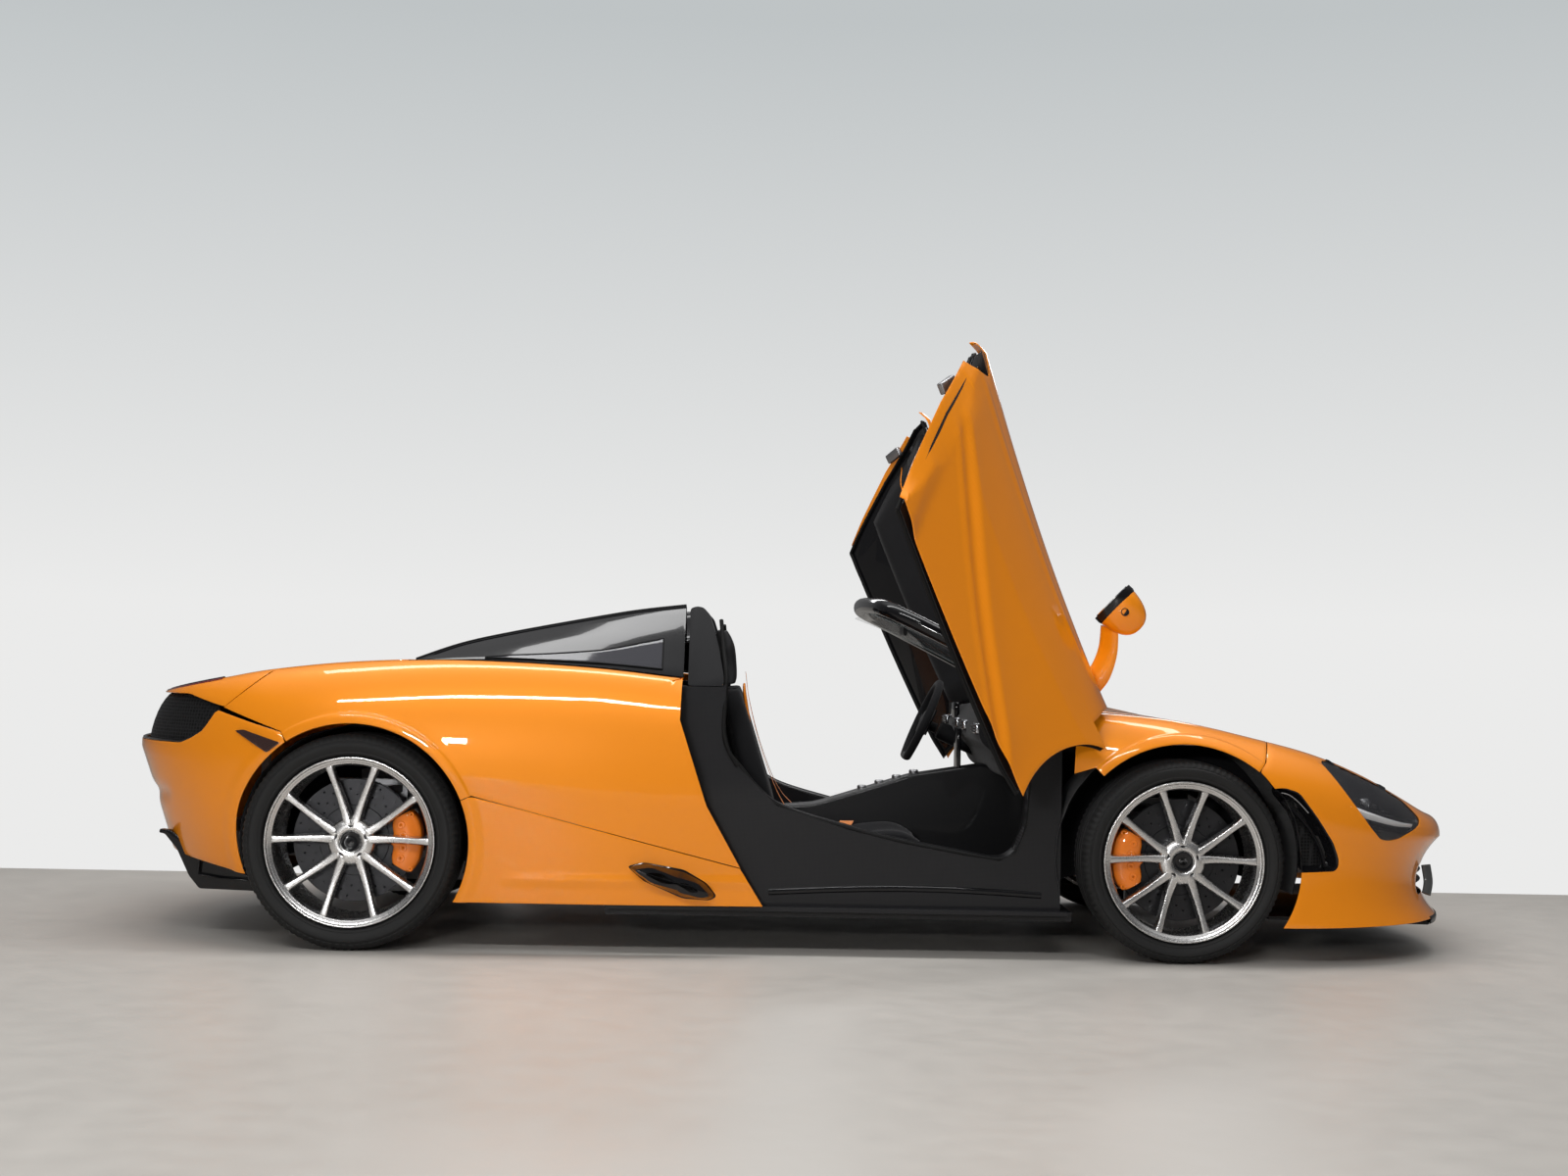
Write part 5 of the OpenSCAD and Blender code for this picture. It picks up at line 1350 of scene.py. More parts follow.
    def deck(self) -> None:
        """Models the deck with the hole for the wing, and the wing with its trailing lip."""
        rows = []
        first = BODY.s_at(-1270)
        stations = [lerp(first, 0.12, k / 56) for k in range(57)]
        for s in stations:
            x, p = BODY.col(s, X), BODY.side(s, 2)
            t0 = BODY.t_at(s, min(self.lamp_top(x), BODY.col(s, CREST_Z) - 1))
            rim = [BODY.side(s, lerp(t0, 2, f / 8)) for f in range(8)]
            over = [(p[0], -p[1] * f, BODY.top_z(p[0], p[1] * f)) for f in [k / 18 for k in range(-18, 19)]]
            rows.append([*rim, *over, *[(q[0], -q[1], q[2]) for q in reversed(rim)]])
        skin = panel("deck_skin", rows, PANEL, flip=True, edge=0)
        gap = SEAM + 1
        hole = [(self.wing_x[0] - gap, -self.wing_half - gap), (self.wing_x[1] + gap, -self.wing_half - gap),
                (self.wing_x[1] + gap, self.wing_half + gap), (self.wing_x[0] - gap, self.wing_half + gap)]
        trim_with(skin, prism("wing_cut", rounded(hole, 26), Axis.Z, 700, 1000))
        dress(soften(skin, 0.0012, 2, 45), ORANGE, "body", ("rear_deck",))
        rows = []
        for u in steps(16):
            x = lerp(self.wing_x[1], self.wing_x[0], u)
            rows.append([(x, self.wing_half * f,
                          BODY.top_z(x, self.wing_half * f) + 4 + 7 * ease((u - 0.7) / 0.3)) for f in
                         [k / 20 for k in range(-20, 21)]])
        dress(panel("wing_blade", rows, 9, flip=True, edge=0.002), ORANGE, "body", ("rear_wing",))

    def diffuser(self) -> None:
        """Models the wide black tray below the bumper, its strakes, and its ends with their grey tips."""
        rows = []
        for y in np.linspace(-640, 640, 33):
            back = 2058 - 0.00022 * y * y
            rows.append([(-x, y, z) for x, z in ((1760, 188), (1900, 196), (1974, 208),
                                                 (lerp(1974, back, 0.6), 250), (back, 296), (back - 4, 306))])
        dress(panel("diffuser_tray", rows, 4, edge=0.001), DARK_CARBON, "body", ("diffuser",))
        for k in range(-2, 3):
            outline = [(-1790, 188), (-1970, 206), (-2046, 284), (-2070, 296), (-2066, 252), (-2000, 176),
                       (-1960, 160), (-1790, 162)]
            fin = prism(f"diffuser_strake_{k + 3}", rounded(outline, 10), Axis.Y, k * 190 - 4, k * 190 + 4)
            dress(soften(fin, 0.0015, 3), SATIN_BLACK, "body")
        for side in Side:
            wedge = [(-1700, 150), (-1975, 158), (-2010, 200), (-2052, 288), (-2094, 338), (-2112, 340),
                     (-2110, 352), (-2076, 352), (-1960, 262), (-1860, 226), (-1700, 205)]
            reach = sorted((side.value * 590, side.value * 622))
            end = prism(f"{side.word}_diffuser_end", rounded(wedge, 8), Axis.Y, *reach)
            dress(soften(end, 0.003, 3, 35), GLOSS_BLACK, "body")
            tip = tube(f"{side.word}_diffuser_tip",
                       flow([(-2064, side.value * 606, 322), (-2092, side.value * 606, 347),
                             (-2110, side.value * 606, 347)], 8), 15, 5, 12)
            dress(soften(tip), GREY_TRIM, "body")

    def build(self) -> None:
        """Builds the tail."""
        self.bumper()
        self.lamps()
        self.reflector()
        self.deck()
        self.diffuser()


@dataclass
class Buttresses:
    """Gloss-black tonneau with flying buttresses, their glass, and the roll hoops."""

    ribs: tuple[tuple[float, ...], ...] = (
        (-1252, 800, 931, 775, 935, 922), (-1110, 806, 934, 720, 988, 934), (-940, 808, 932, 672, 1030, 950),
        (-650, 808, 917, 622, 1089, 976), (-520, 806, 905, 604, 1112, 990), (-380, 803, 890, 590, 1130, 1004))

    def row(self, b: Sequence[float]) -> list[list[float]]:
        """One cross-section, right to left."""
        inner = b[3] - 95
        half = [(b[1], b[2]), (lerp(b[1], b[3], 0.5), lerp(b[2], b[4], 0.56)), (b[3] + 14, b[4] - 8),
                (b[3] - 6, b[4]),
                (b[3] - 40, b[4] - 4), (inner + 20, lerp(b[5], b[4], 0.5)), (inner - 20, b[5] + 3),
                (inner - 190, b[5] + 8), (0, b[5] + 14)]
        dense = []
        for a, c in zip(half, half[1:]):
            dense += [(lerp(a[0], c[0], f / 4), lerp(a[1], c[1], f / 4)) for f in range(4)]
        dense.append(half[-1])
        smooth = [dense[0], *[tuple((dense[i - 1][k] + 2 * dense[i][k] + dense[i + 1][k]) / 4 for k in (0, 1))
                              for i in range(1, len(dense) - 1)], dense[-1]]
        right = [[b[0], -p[0], p[1]] for p in smooth]
        return right + [[b[0], -p[1], p[2]] for p in reversed(right[:-1])]

    def build(self) -> None:
        """Models and dresses all of them."""
        rows = [self.row(b) for b in flow(self.ribs, 40)]
        dress(panel("tonneau_skin", rows, 5, edge=0.001), GLOSS_BLACK, "tonneau", ("tonneau",))
        for side in Side:
            path = [(b[0], side.value * (b[3] + 8), b[4] - 1) for b in flow(self.ribs, 30)]
            dress(soften(tube(f"{side.word}_buttress_edge", path, 3.5, 3, 10)), SATIN_BLACK, "tonneau")
        glass = []
        for u in steps(24):
            i = 1.5 + 3 * u
            a, b = self.ribs[int(i)], self.ribs[min(int(i) + 1, 5)]
            c = [lerp(p, q, i - int(i)) for p, q in zip(a, b)]
            p, q = Vector((c[0], -c[1], c[2])), Vector((c[0], -lerp(c[1], c[3], 0.5), lerp(c[2], c[4], 0.56)))
            top = 0.12 + 0.8 * (i - 1.2) / 3.3
            glass.append([p.lerp(q, lerp(0.12, top, v)) + Vector((0, -3.6, 2.2)) for v in steps(6)])
        pane = panel("right_quarter_pane", glass, 2)
        dress_pair(pane, DARK_GLASS, ("tonneau", "tonneau"), (("quarter_glass",), ("quarter_glass",)))
        rim = [row[0] for row in glass] + [row[-1] for row in reversed(glass)]
        rim.append(rim[0])
        dress_pair(soften(tube("right_quarter_seal", rim, 2.4, 2.4, 8)), SEAL_RUBBER, ("tonneau", "tonneau"))
        self.hoops()

    def hoops(self) -> None:
        """Models the roll hoops and the bar between them."""
        outline = [(-366, 1118), (-345, 1126), (-322, 1122), (-300, 1098), (-284, 1049), (-266, 982), (-250, 893),
                   (-250, 862), (-366, 862)]
        hoop = prism("right_roll_hoop", rounded(outline, 9), Axis.Y, -790, -490)
        side_cut = [(-850, 850), (-786, 850), (-588, 1140), (-850, 1140)]
        trim_with(hoop, prism("hoop_cut", side_cut, Axis.X, -400, -200))
        foot_cut = [(-562, 850), (-492, 980), (-480, 990), (-480, 850)]
        trim_with(hoop, prism("hoop_foot_cut", foot_cut, Axis.X, -400, -200))
        dress_pair(soften(hoop, 0.006, 3, 40), GLOSS_BLACK, BOTH, (("roll_hoops",), ("roll_hoops",)))
        bar = block("hoop_crossbar", (-362, -560, 942), (-304, 560, 984), 12, 4)
        dress(bar, GRAINED_BLACK, "body")
        seal = flow([(-262, -640, 1080), (-252, -700, 985), (-240, -765, 880), (-244, -800, 700),
                     (-200, -800, 604)], 24)
        dress_pair(soften(tube("right_post_seal", seal, 7, 7, 10)), SEAL_RUBBER, BOTH)


@dataclass
class Doors:
    """Dihedral doors, modelled shut and swung up about their pins, with trims and mirrors."""

    pin: Vector = field(default_factory=lambda: Vector((977, -828, 715)))
    axis: Vector = field(default_factory=lambda: Vector((-0.442, 0.7413, 0.505)))
    degrees: float = 75.6
    levels: int = 84
    fold: float = 11.0
    bodies: tuple[str, str] = ("right_door", "left_door")

    def swing(self) -> Matrix:
        """The motion from shut to raised, in metres."""
        pin = Matrix.Translation(self.pin * MM)
        return pin @ Matrix.Rotation(math.radians(self.degrees), 4, self.axis.normalized()) @ pin.inverted()

    @staticmethod
    def edge_x(z: float, front: bool) -> float:
        """x of the door's front or rear edge at a height."""
        if front:
            if z < 591:
                return arch_x(FRONT_AXLE, FRONT_ARCH_R, z, -1) - SHUT
            return (lerp(884, 890, (z - 605) / 85) if z < 690 else lerp(890, 916, (z - 690) / 107)) - 18
        if z < 279:
            return lerp(-102, -177, (z - 158) / 121)
        if z < 481:
            return lerp(-177, -289, (z - 279) / 202)
        return lerp(-289, -379, (z - 481) / 272) if z < 753 else lerp(-379, -367, (z - 753) / 130)

    def grid(self, low: float, high: float, count: int, across: int, rear_in: float = 0,
             front_in: float = 0) -> Rows:
        """Points of the shut door between two fractions of its height.

        Args:
            low: the lower fraction.
            high: the upper one.
            count: number of levels between them.
            across: number of steps from the rear edge to the front one.
            rear_in: distance kept from the rear edge.
            front_in: distance kept from the front edge.

        Returns:
            Rows from the sill upwards.
        """
        marks = sorted({*[lerp(low, high, k / count) for k in range(count + 1)],
                        *[v for v in (0.672, 0.676) if low < v < high]})
        rows = []
        for v in marks:
            rear = self.edge_x(lerp(162, 878, v), False) + rear_in
            front = self.edge_x(lerp(162, 798, v), True) - front_in
            line = []
            for u in steps(across):
                x = lerp(rear, front, u)
                s = BODY.s_at(x)
                z = lerp(162, BODY.col(s, CREST_Z), v)
                line.append(BODY.side(s, min(BODY.t_at(s, z), 2)))
            rows.append(line)
        return rows

    def relief(self, rows: Rows) -> list[list[float]]:
        """Heights of the pressed forms: two long creases, a hollow below them and the duct's facet at the rear."""
        marks = ((0, 0, 0), (0.145, 60, 0), (0.245, 77, 0), (0.285, 104, 0), (0.36, 123, 0), (0.6, 92, 0),
                 (0.7, 60, 0), (1, 40, 0))
        found = []
        for i, row in enumerate(rows):
            v = i / (len(rows) - 1)
            facet = along(marks, v)[0]
            line = []
            for x, _, z in row:
                rear = x - row[0][0]
                crease = lerp(597, 172, (x + 290) / 1080)
                above = z - crease
                if above > 0:
                    fold = self.fold * math.exp(-above / 90)
                else:
                    fold = self.fold - 15.0 * ease(-above / 34) + 4.0 * ease((-above - 34) / 30)
                second = 4.0 * max(0.0, 1 - abs(above + 66) / 18) - 16.0 * max(0.0, min(-above / 330, 1.0))
                ends = ease((rear - 60) / 90) * ease((880 - x) / 200)
                shoulder = 3.5 * math.exp(-((z - lerp(735, 690,
                        (x + 380) / 1300)) / 15) ** 2) * ease(rear / 200) * ease((860 - x) / 240)
                turned_in = -24.0 * max(0.0, 1 - rear / facet) if facet > 1 else 0.0
                line.append((fold + second) * ends + shoulder + turned_in)
            found.append(line)
        return found

    def build(self) -> None:
        """Models and dresses both doors."""
        rows = self.grid(0, 1, self.levels, 84)
        skin = panel("right_door_skin", raised(rows, self.relief(rows), -1), PANEL, flip=True, edge=0)
        mouth = [(-420, 905), (-420, 660), (-375, 668), (-335, 692), (-292, 730), (-262, 778), (-282, 806),
                 (-318, 826), (-352, 842), (-378, 870)]
        trim_with(skin, prism("mouth_cut", rounded(mouth, 16), Axis.Y, -1000, -700))
        soften(skin, 0.0012, 2, 50)
        self.hang(skin, ORANGE, (("right_door",), ("left_door",)))
        self.inner()
        self.mirror()

    def hang(self, piece: bpy.types.Object, finish: Finish,
             stands_for: tuple[Iterable[str], Iterable[str]] = ((), ())) -> None:
        """Swings a piece of the shut right door up, and dresses it and its left-hand copy."""
        piece.data.transform(self.swing())
        dress_pair(piece, finish, self.bodies, stands_for)

    def inner(self) -> None:
        """Models the folded frame behind the skin, the trim pad, armrest, handle, seal and latch."""
        outer = self.grid(0.012, 0.992, 30, 40, 40, 4)
        face = self.grid(0.2, 0.93, 30, 40, 34, 95)
        sink = [[-9.0 - 12.0 * ease(min(u, 1 - u) * 9) - 16.0 * max(1 - u * 9, 0) - 14.0 * max(0.0,
                1 - v * 2.2) for u in steps(40)]
                for v in steps(len(outer) - 1)]
        hem = panel("right_door_frame", raised(outer, sink, -1), 5, flip=True)
        self.hang(hem, GLOSS_BLACK)
        heights = []
        for i, row in enumerate(face):
            v = i / (len(face) - 1)
            heights.append([-lerp(16, 66, min(ease(min(u, 1 - u) * 9), ease(min(v, 1 - v) * 7)))
                            + 12 * math.exp(-((v - 0.62) / 0.1) ** 2) * ease(u * 4) * ease((1 - u) * 4)
                            for u in steps(len(row) - 1)])
        pad = sheet_of("right_door_pad", raised(face, heights, -1))
        merge(pad, outward=False)
        apply(pad, "SOLIDIFY", thickness=0.004, offset=-1)
        self.hang(soften(pad), SUEDE, stands_for=(("right_door_trim",), ("left_door_trim",)))
        seam = [Vector(p) + Vector((0, 1.5, 0)) for p in raised(face, heights, -1)[len(face) // 2]]
        self.hang(soften(tube("right_door_piping", seam, 2.2, 2.2, 8)), ORANGE_LEATHER)
        base = raised(outer, [[h - 11 for h in row] for row in sink], -1)
        ring = [*[row[0] for row in base], *base[-1][1:], *[row[-1] for row in reversed(base[:-1])],
                *list(reversed(base[0]))[1:]]
        self.hang(soften(tube("right_door_seal", ring, 6, 6, 10)), SEAL_RUBBER)
        reach = [(780, -818, 690), (812, -820, 686), (900, -782, 676), (938, -762, 678), (955, -787, 693),
                 (966, -810, 705)]
        self.hang(soften(tube("right_door_arm", flow(reach, 30), 8, 8, 14)), CAST)
        grip = [(120, -832, 690), (160, -808, 700), (330, -800, 700), (370, -824, 690)]
        self.hang(soften(tube("right_door_pull", flow(grip, 24), 9, 7, 12)), LEATHER)
        self.hang(block("right_door_latch", (-330, -868, 560), (-292, -846, 640), 5), CAST)

    @staticmethod
    def oval(x: float, half_y: float, half_z: float, angle: float, shift: float = 0.0) -> Point:
        """A point of the mirror's squared oval at x, raised by a shift."""
        return x, half_y * swell(math.cos(angle), 0.75), shift + half_z * swell(math.sin(angle), 0.8)

    def mirror(self) -> None:
        """Models the mirror: stalk, painted shell, dark cap, glass and the camera's eye."""
        reach = flow([(816, -814, 800), (790, -848, 828), (735, -880, 864), (662, -905, 886)], 20)
        stalk = tube("right_mirror_stalk", reach, 37, 12, 16, (0, 0, 1), lambda u: 1.1 - 0.25 * u)
        turn = Matrix.Translation(Vector((630, -955, 912)) * MM)
        turn = turn @ Matrix.Rotation(math.radians(-30), 4, "Z") @ Matrix.Rotation(math.radians(-24), 4, "X")
        rings = []
        for x, r_y, r_z, shift in ((-48, 60, 30, 0), (-47, 74, 42, 0), (-30, 76, 47, 0), (0, 73, 46, 0),
                                   (35, 64, 36, 2), (62, 48, 22, 3), (76, 26, 10, 4)):
            rings.append([self.oval(x, r_y, r_z, a, shift) for a in turns(40)])
        head = merge(sheet_of("right_mirror_shell", [[(-40, 0, 0)] * 41, *rings, [(79, 0, 4)] * 41]))
        apply(head, "SUBSURF", levels=1, render_levels=1)
        glass = turned("right_mirror_glass", [(0.01, -46), (0.9, -46), (1, -47), (1, -52), (0.01, -52)],
                       lambda r, a, d: self.oval(d, r * 68, r * 38, a), 40)
        cap = turned("right_mirror_cap", [(0.82, -49), (1.02, -49), (1.03, -30), (0.99, -22), (0.8, -24)],
                     lambda r, a, d: self.oval(d, r * 76, r * 46, a), 40)
        eye = turned("right_mirror_eye", [(0.01, 0), (9, 0), (11, 3), (13, 3), (13, -6), (0.01, -6)],
                     lambda r, a, d: (6 + r * math.cos(a), -16 + r * math.sin(a), -42 - d), 24)
        for part, finish in ((head, ORANGE), (glass, MIRROR_GLASS), (cap, GLOSS_BLACK), (eye, GLOSS_BLACK)):
            part.data.transform(turn)
            nodes = (("right_mirror",), ("left_mirror",)) if part is head else ((), ())
            self.hang(soften(part), finish, nodes)
        self.hang(soften(stalk), ORANGE)


@dataclass
class WheelSize:
    """Sizes of one axle's wheels."""

    axle: tuple[float, float]
    middle_y: float
    tyre_r: float
    tyre_w: float
    lip_r: float
    rim_w: float

    def at(self, radius: float, angle: float, out: float) -> Point:
        """A place on the right-hand wheel: radius and angle about its axle, distance outwards from its middle."""
        x, z = self.axle
        return x + radius * math.cos(angle), -self.middle_y - out, z + radius * math.sin(angle)

    def around(self, radius: float, angle: float) -> Callable[[float, float, float], Point]:
        """Places about a line that runs parallel to the axle at a radius and angle."""
        x, _, z = self.at(radius, angle, 0)
        return lambda r, a, out: (x + r * math.cos(a), -self.middle_y - out, z + r * math.sin(a))


@dataclass
class Wheels:
    """Tyres, spoked rims, drilled discs and calipers."""

    front: WheelSize = field(default_factory=lambda: WheelSize(FRONT_AXLE, 815, 327, 245, 259, 230))
    rear: WheelSize = field(default_factory=lambda: WheelSize(REAR_AXLE, 795, 345.5, 305, 272, 280))
    hub_y: float = 834
    disc_r: float = 197
    disc_t: float = 34
    bolts_r: float = 56
    bolts: int = 5
    pairs: int = 5
    grooves: int = 4
    drill_rows: tuple[float, ...] = (130, 147, 164, 181)

    def tyre(self, size: WheelSize, name: str) -> bpy.types.Object:
        """Models a tyre with shoulder ribs, grooves and sidewall rings."""
        h, r, lip = size.tyre_w / 2, size.tyre_r, size.lip_r
        bead, seat = size.rim_w / 2 - 14.3, lip - 17.7
        wall = lerp(lip, r, 0.5)
        half = [(seat, bead), (lip + 1, bead), (lip + 3, bead + 3), (lip + 8, h - 8), (lip + 13, h - 5),
                (lip + 16, h - 5.5), (lip + 19, h - 3.5),
                (wall - 4, h - 0.6), (wall, h), (wall + 6, h - 0.4), (r - 26, h - 3.5), (r - 23, h - 6),
                (r - 20, h - 5.6), (r - 12, h - 10),
                (r - 7, h - 16), (r - 3.4, h - 25), (r - 1.2, h - 36)]
        tread = []
        for k in range(self.grooves):
            y = (h - 40) * (1 - 2 * (k + 0.5) / self.grooves)
            tread += [(r, y + 6.5), (r - 5.5, y + 4.5), (r - 5.5, y - 4.5), (r, y - 6.5)]
        profile = [*half, *tread, *[(p, -q) for p, q in reversed(half)]]
        shoulders = {i for i, (p, q) in enumerate(profile) if r - 21 < p < r - 1 and abs(q) > h - 37}
        pitch = 2 * math.pi / 96

        def ripple(angle: float, index: int) -> float:
            """Radius lost in the cuts across a shoulder.

            Args:
                angle: angle about the axle.
                index: point of the profile.

            Returns:
                The change of radius.
            """
            return -2.6 if index in shoulders and (angle / pitch) % 1 < 0.3 else 0.0

        return soften(turned(name, profile, size.at, 384, ripple), angle=28)

    def bolt_angle(self, k: int) -> float:
        """Angle of the k-th wheel bolt about the axle."""
        return math.radians(18 + 360 / self.bolts * k)

    def rim(self, size: WheelSize, name: str) -> bpy.types.Object:
        """Models a rim: stepped barrel, pairs of spokes, hub with bolts' wells."""
        h, lip = size.rim_w / 2, size.lip_r
        hub = self.hub_y - size.middle_y
        barrel = turned("barrel", [(lip - 12, -h), (lip, -h), (lip, -h + 8), (lip - 18, -h + 14),
                                   (lip - 18, -h + 40), (lip - 23, -h + 60),
                                   (lip - 23, h - 50), (lip - 18, h - 34), (lip - 18, h - 14), (lip, h - 8),
                                   (lip + 1, h - 3), (lip - 1, h),
                                   (lip - 4, h + 0.5), (lip - 7, h - 1.5), (lip - 9, h - 6), (lip - 14, h - 7.5),
                                   (lip - 17, h - 11), (lip - 22, h - 13), (lip - 25, h - 20),
                                   (lip - 29, h - 44), (lip - 29, -h + 56), (lip - 24, -h + 32)], size.at, 144)
        face = h - 13
        hub_piece = turned("hub", [(0.01, hub + 1), (76, hub + 1), (76, face - 30), (72, face - 20),
                                   (64, face - 14), (44, face - 11), (37, face - 13),
                                   (35, face - 16), (0.01, face - 16)], size.at, 96)
        for k in range(self.bolts):
            well = [(0.01, face + 8), (11, face + 8), (10, face - 34), (0.01, face - 34)]
            trim_with(hub_piece, turned("well", well, size.around(self.bolts_r, self.bolt_angle(k)), 20))
        parts = [barrel, hub_piece]
        for pair in range(self.pairs):
            for hand in (-1, 1):
                parts.append(self.spoke(size, pair, hand, face))
        for part in parts:
            soften(part, 0.0011, 2, 32)
        return joined(name, parts)

    def spoke(self, size: WheelSize, pair: int, hand: int, face: float) -> bpy.types.Object:
        """Models one spoke of a pair, which leans to its twin at the hub.

        Args:
            size: the axle's wheel sizes.
            pair: number of the pair.
            hand: -1 or 1, the side of the pair.
            face: distance of the wheel's face from its middle.

        Returns:
            The spoke.
        """
        base = math.radians(90 + 360 / self.pairs * pair)
        outer_a, inner_a = base + hand * math.radians(17), base + hand * math.radians(11)
        rows: Rows = []
        for u in steps(18):
            radius = lerp(size.lip_r - 19, 52, u)
            a = lerp(outer_a, inner_a, u ** 1.6)
            width = 8.6 + 4.0 * (1 - u) ** 6 + 5.0 * u ** 2
            depth = lerp(30, 46, u)
            top = face - lerp(3, 13, ease(u)) - 4 * math.sin(math.pi * u)
            section = []
            for w, d in ((-1.35, -depth), (-1.15, -depth * 0.45), (-1.0, -3.0), (-0.72, 0.0), (0.72, 0.0),
                         (1.0, -3.0), (1.15, -depth * 0.45), (1.35, -depth), (-1.35, -depth)):
                c, s = math.cos(a), math.sin(a)
                section.append((size.axle[0] + radius * c - w * width * s, -size.middle_y - (top + d),
                                size.axle[1] + radius * s + w * width * c))
            rows.append(section)
        return merge(sheet_of(f"spoke_{pair}_{hand}", [closing(rows[0]), *rows, closing(rows[-1])]))

    def disc(self, size: WheelSize, name: str) -> bpy.types.Object:
        """Models a vented, drilled disc on its bell."""
        out = self.hub_y - size.middle_y
        t = self.disc_t
        ring = turned(name, [(90, out), (112, out), (114, out - 3), (self.disc_r - 1, out - 3),
                             (self.disc_r, out - 4), (self.disc_r, out - 12), (self.disc_r - 8, out - 12.5),
                             (self.disc_r - 8, out - t + 12.5), (self.disc_r, out - t + 12),
                             (self.disc_r, out - t + 1), (self.disc_r - 1, out - t), (112, out - t),
                             (108, out - 14),
                             (75, out - 14), (75, out - 52), (35, out - 52), (35, out - 60), (0.01, out - 60),
                             (0.01, out)], size.at, 120)
        drills = []
        for k in range(18):
            for j, radius in enumerate(self.drill_rows):
                hole = [(0.01, out + 2), (3.6, out + 2), (3.6, out - 9), (0.01, out - 9)]
                drills.append(turned("drill", hole, size.around(radius, 2 * math.pi * (k / 18 + j * 0.022)), 8))
        trim_with(ring, joined("drills", drills))
        return soften(ring, 0.0, 1, 30)

    def caliper(self, size: WheelSize, name: str, way: int) -> bpy.types.Object:
        """Models a caliper: curved body, bridge ribs and piston bosses.

        Args:
            size: the axle's wheel sizes.
            name: the piece's name.
            way: 1 if it sits ahead of the axle, -1 if behind.

        Returns:
            The right-hand caliper.
        """
        out = 875 - size.middle_y - 2
        middle = 0 if way > 0 else math.pi
        rows: Rows = []
        for u in steps(30):
            a = middle + way * math.radians(lerp(-29, 29, u))
            end = 1 - 0.35 * abs(2 * u - 1) ** 5
            low, high = 176 - 44 * end, 176 + 46 * end
            waist = 1 - 0.14 * math.exp(-((u - 0.5) / 0.08) ** 2)
            section = [(low, out - 34), (low, out - 10), (low + 7, out - 3), (low + 20, out),
                       (lerp(low, high, 0.55), out + 0.6), (high - 12, out - 3 * waist),
                       (high - 2, out - 12), (high, out - 24), (high, out - 105), (high - 14, out - 108),
                       (high - 14, out - 36), (low, out - 34)]
            rows.append([size.at(p * (waist if p < 170 else 1), a, d) for p, d in section])
        body = merge(sheet_of(name, rows))
        only(body)
        bpy.ops.object.mode_set(mode="EDIT")
        bpy.ops.mesh.select_all(action="DESELECT")
        bpy.ops.mesh.select_non_manifold()
        bpy.ops.mesh.edge_face_add()
        bpy.ops.mesh.select_all(action="SELECT")
        bpy.ops.mesh.normals_make_consistent(inside=False)
        bpy.ops.object.mode_set(mode="OBJECT")
        parts = [soften(body, 0.003, 3, 38)]
        for degrees in (-19, -7, 7, 19):
            a = middle + way * math.radians(degrees)
            boss = turned("boss", [(0.01, out - 4), (13, out - 4), (13, out + 1), (11.5, out + 2.6), (7, out + 2.6),
                                   (6, out + 1.4), (0.01, out + 1.4)],
                          size.around(164, a), 28)
            parts.append(soften(boss))
        for degrees in (-25, 25):
            a = middle + way * math.radians(degrees)
            ear = [(0.01, out - 30), (9, out - 30), (9, out - 4), (7, out - 2), (0.01, out - 2)]
            parts.append(soften(turned("ear", ear, size.around(206, a), 20)))
        return joined(name, parts)

    def build(self) -> None:
        """Models and dresses the four wheels."""
        for size, end, way in ((self.front, "front", -1), (self.rear, "rear", 1)):
            bodies = (f"right_{end}_wheel", f"left_{end}_wheel")
            nodes = lambda part: ((f"right_{end}_{part}",), (f"left_{end}_{part}",))
            dress_pair(self.tyre(size, f"right_{end}_tyre_rubber"), TYRE_RUBBER, bodies, nodes("tyre"))
            dress_pair(self.rim(size, f"right_{end}_rim_alloy"), ALLOY, bodies, nodes("rim"))
            turned_finish = Turned(f"{end}_disc_face", (0.045, 0.045, 0.048),
                                   (size.axle[0] * MM, 0, size.axle[1] * MM))
            dress_pair(self.disc(size, f"right_{end}_disc_iron"), turned_finish, bodies, nodes("disc"))
            face = size.rim_w / 2 - 13
            cap = turned(f"right_{end}_cap", [(0.01, face - 18), (33, face - 18), (33, face - 12), (31, face - 10),
                                              (26, face - 9.4), (24, face - 10.4), (0.01, face - 9.6)], size.at, 48)
            dress_pair(soften(cap), GLOSS_BLACK, bodies)
            heads = []
            for k in range(self.bolts):
                heads.append(soften(turned("bolt", [(0.01, face - 33), (8.6, face - 33), (8.6, face - 18),
                                                    (7.4, face - 16), (5, face - 16), (4.4, face - 18),
                                                    (0.01, face - 18)],
                                           size.around(self.bolts_r, self.bolt_angle(k)), 12)))
            dress_pair(joined(f"right_{end}_bolts", heads), BOLT_STEEL, bodies)
            caliper = self.caliper(size, f"right_{end}_caliper_body", way)
            held, replaced = BOTH, (("rear_calipers",), ("rear_calipers",))
            if end == "front":
                held, replaced = ("right_steering", "left_steering"), nodes("caliper")
            dress_pair(caliper, CALIPER_PAINT, held, replaced)


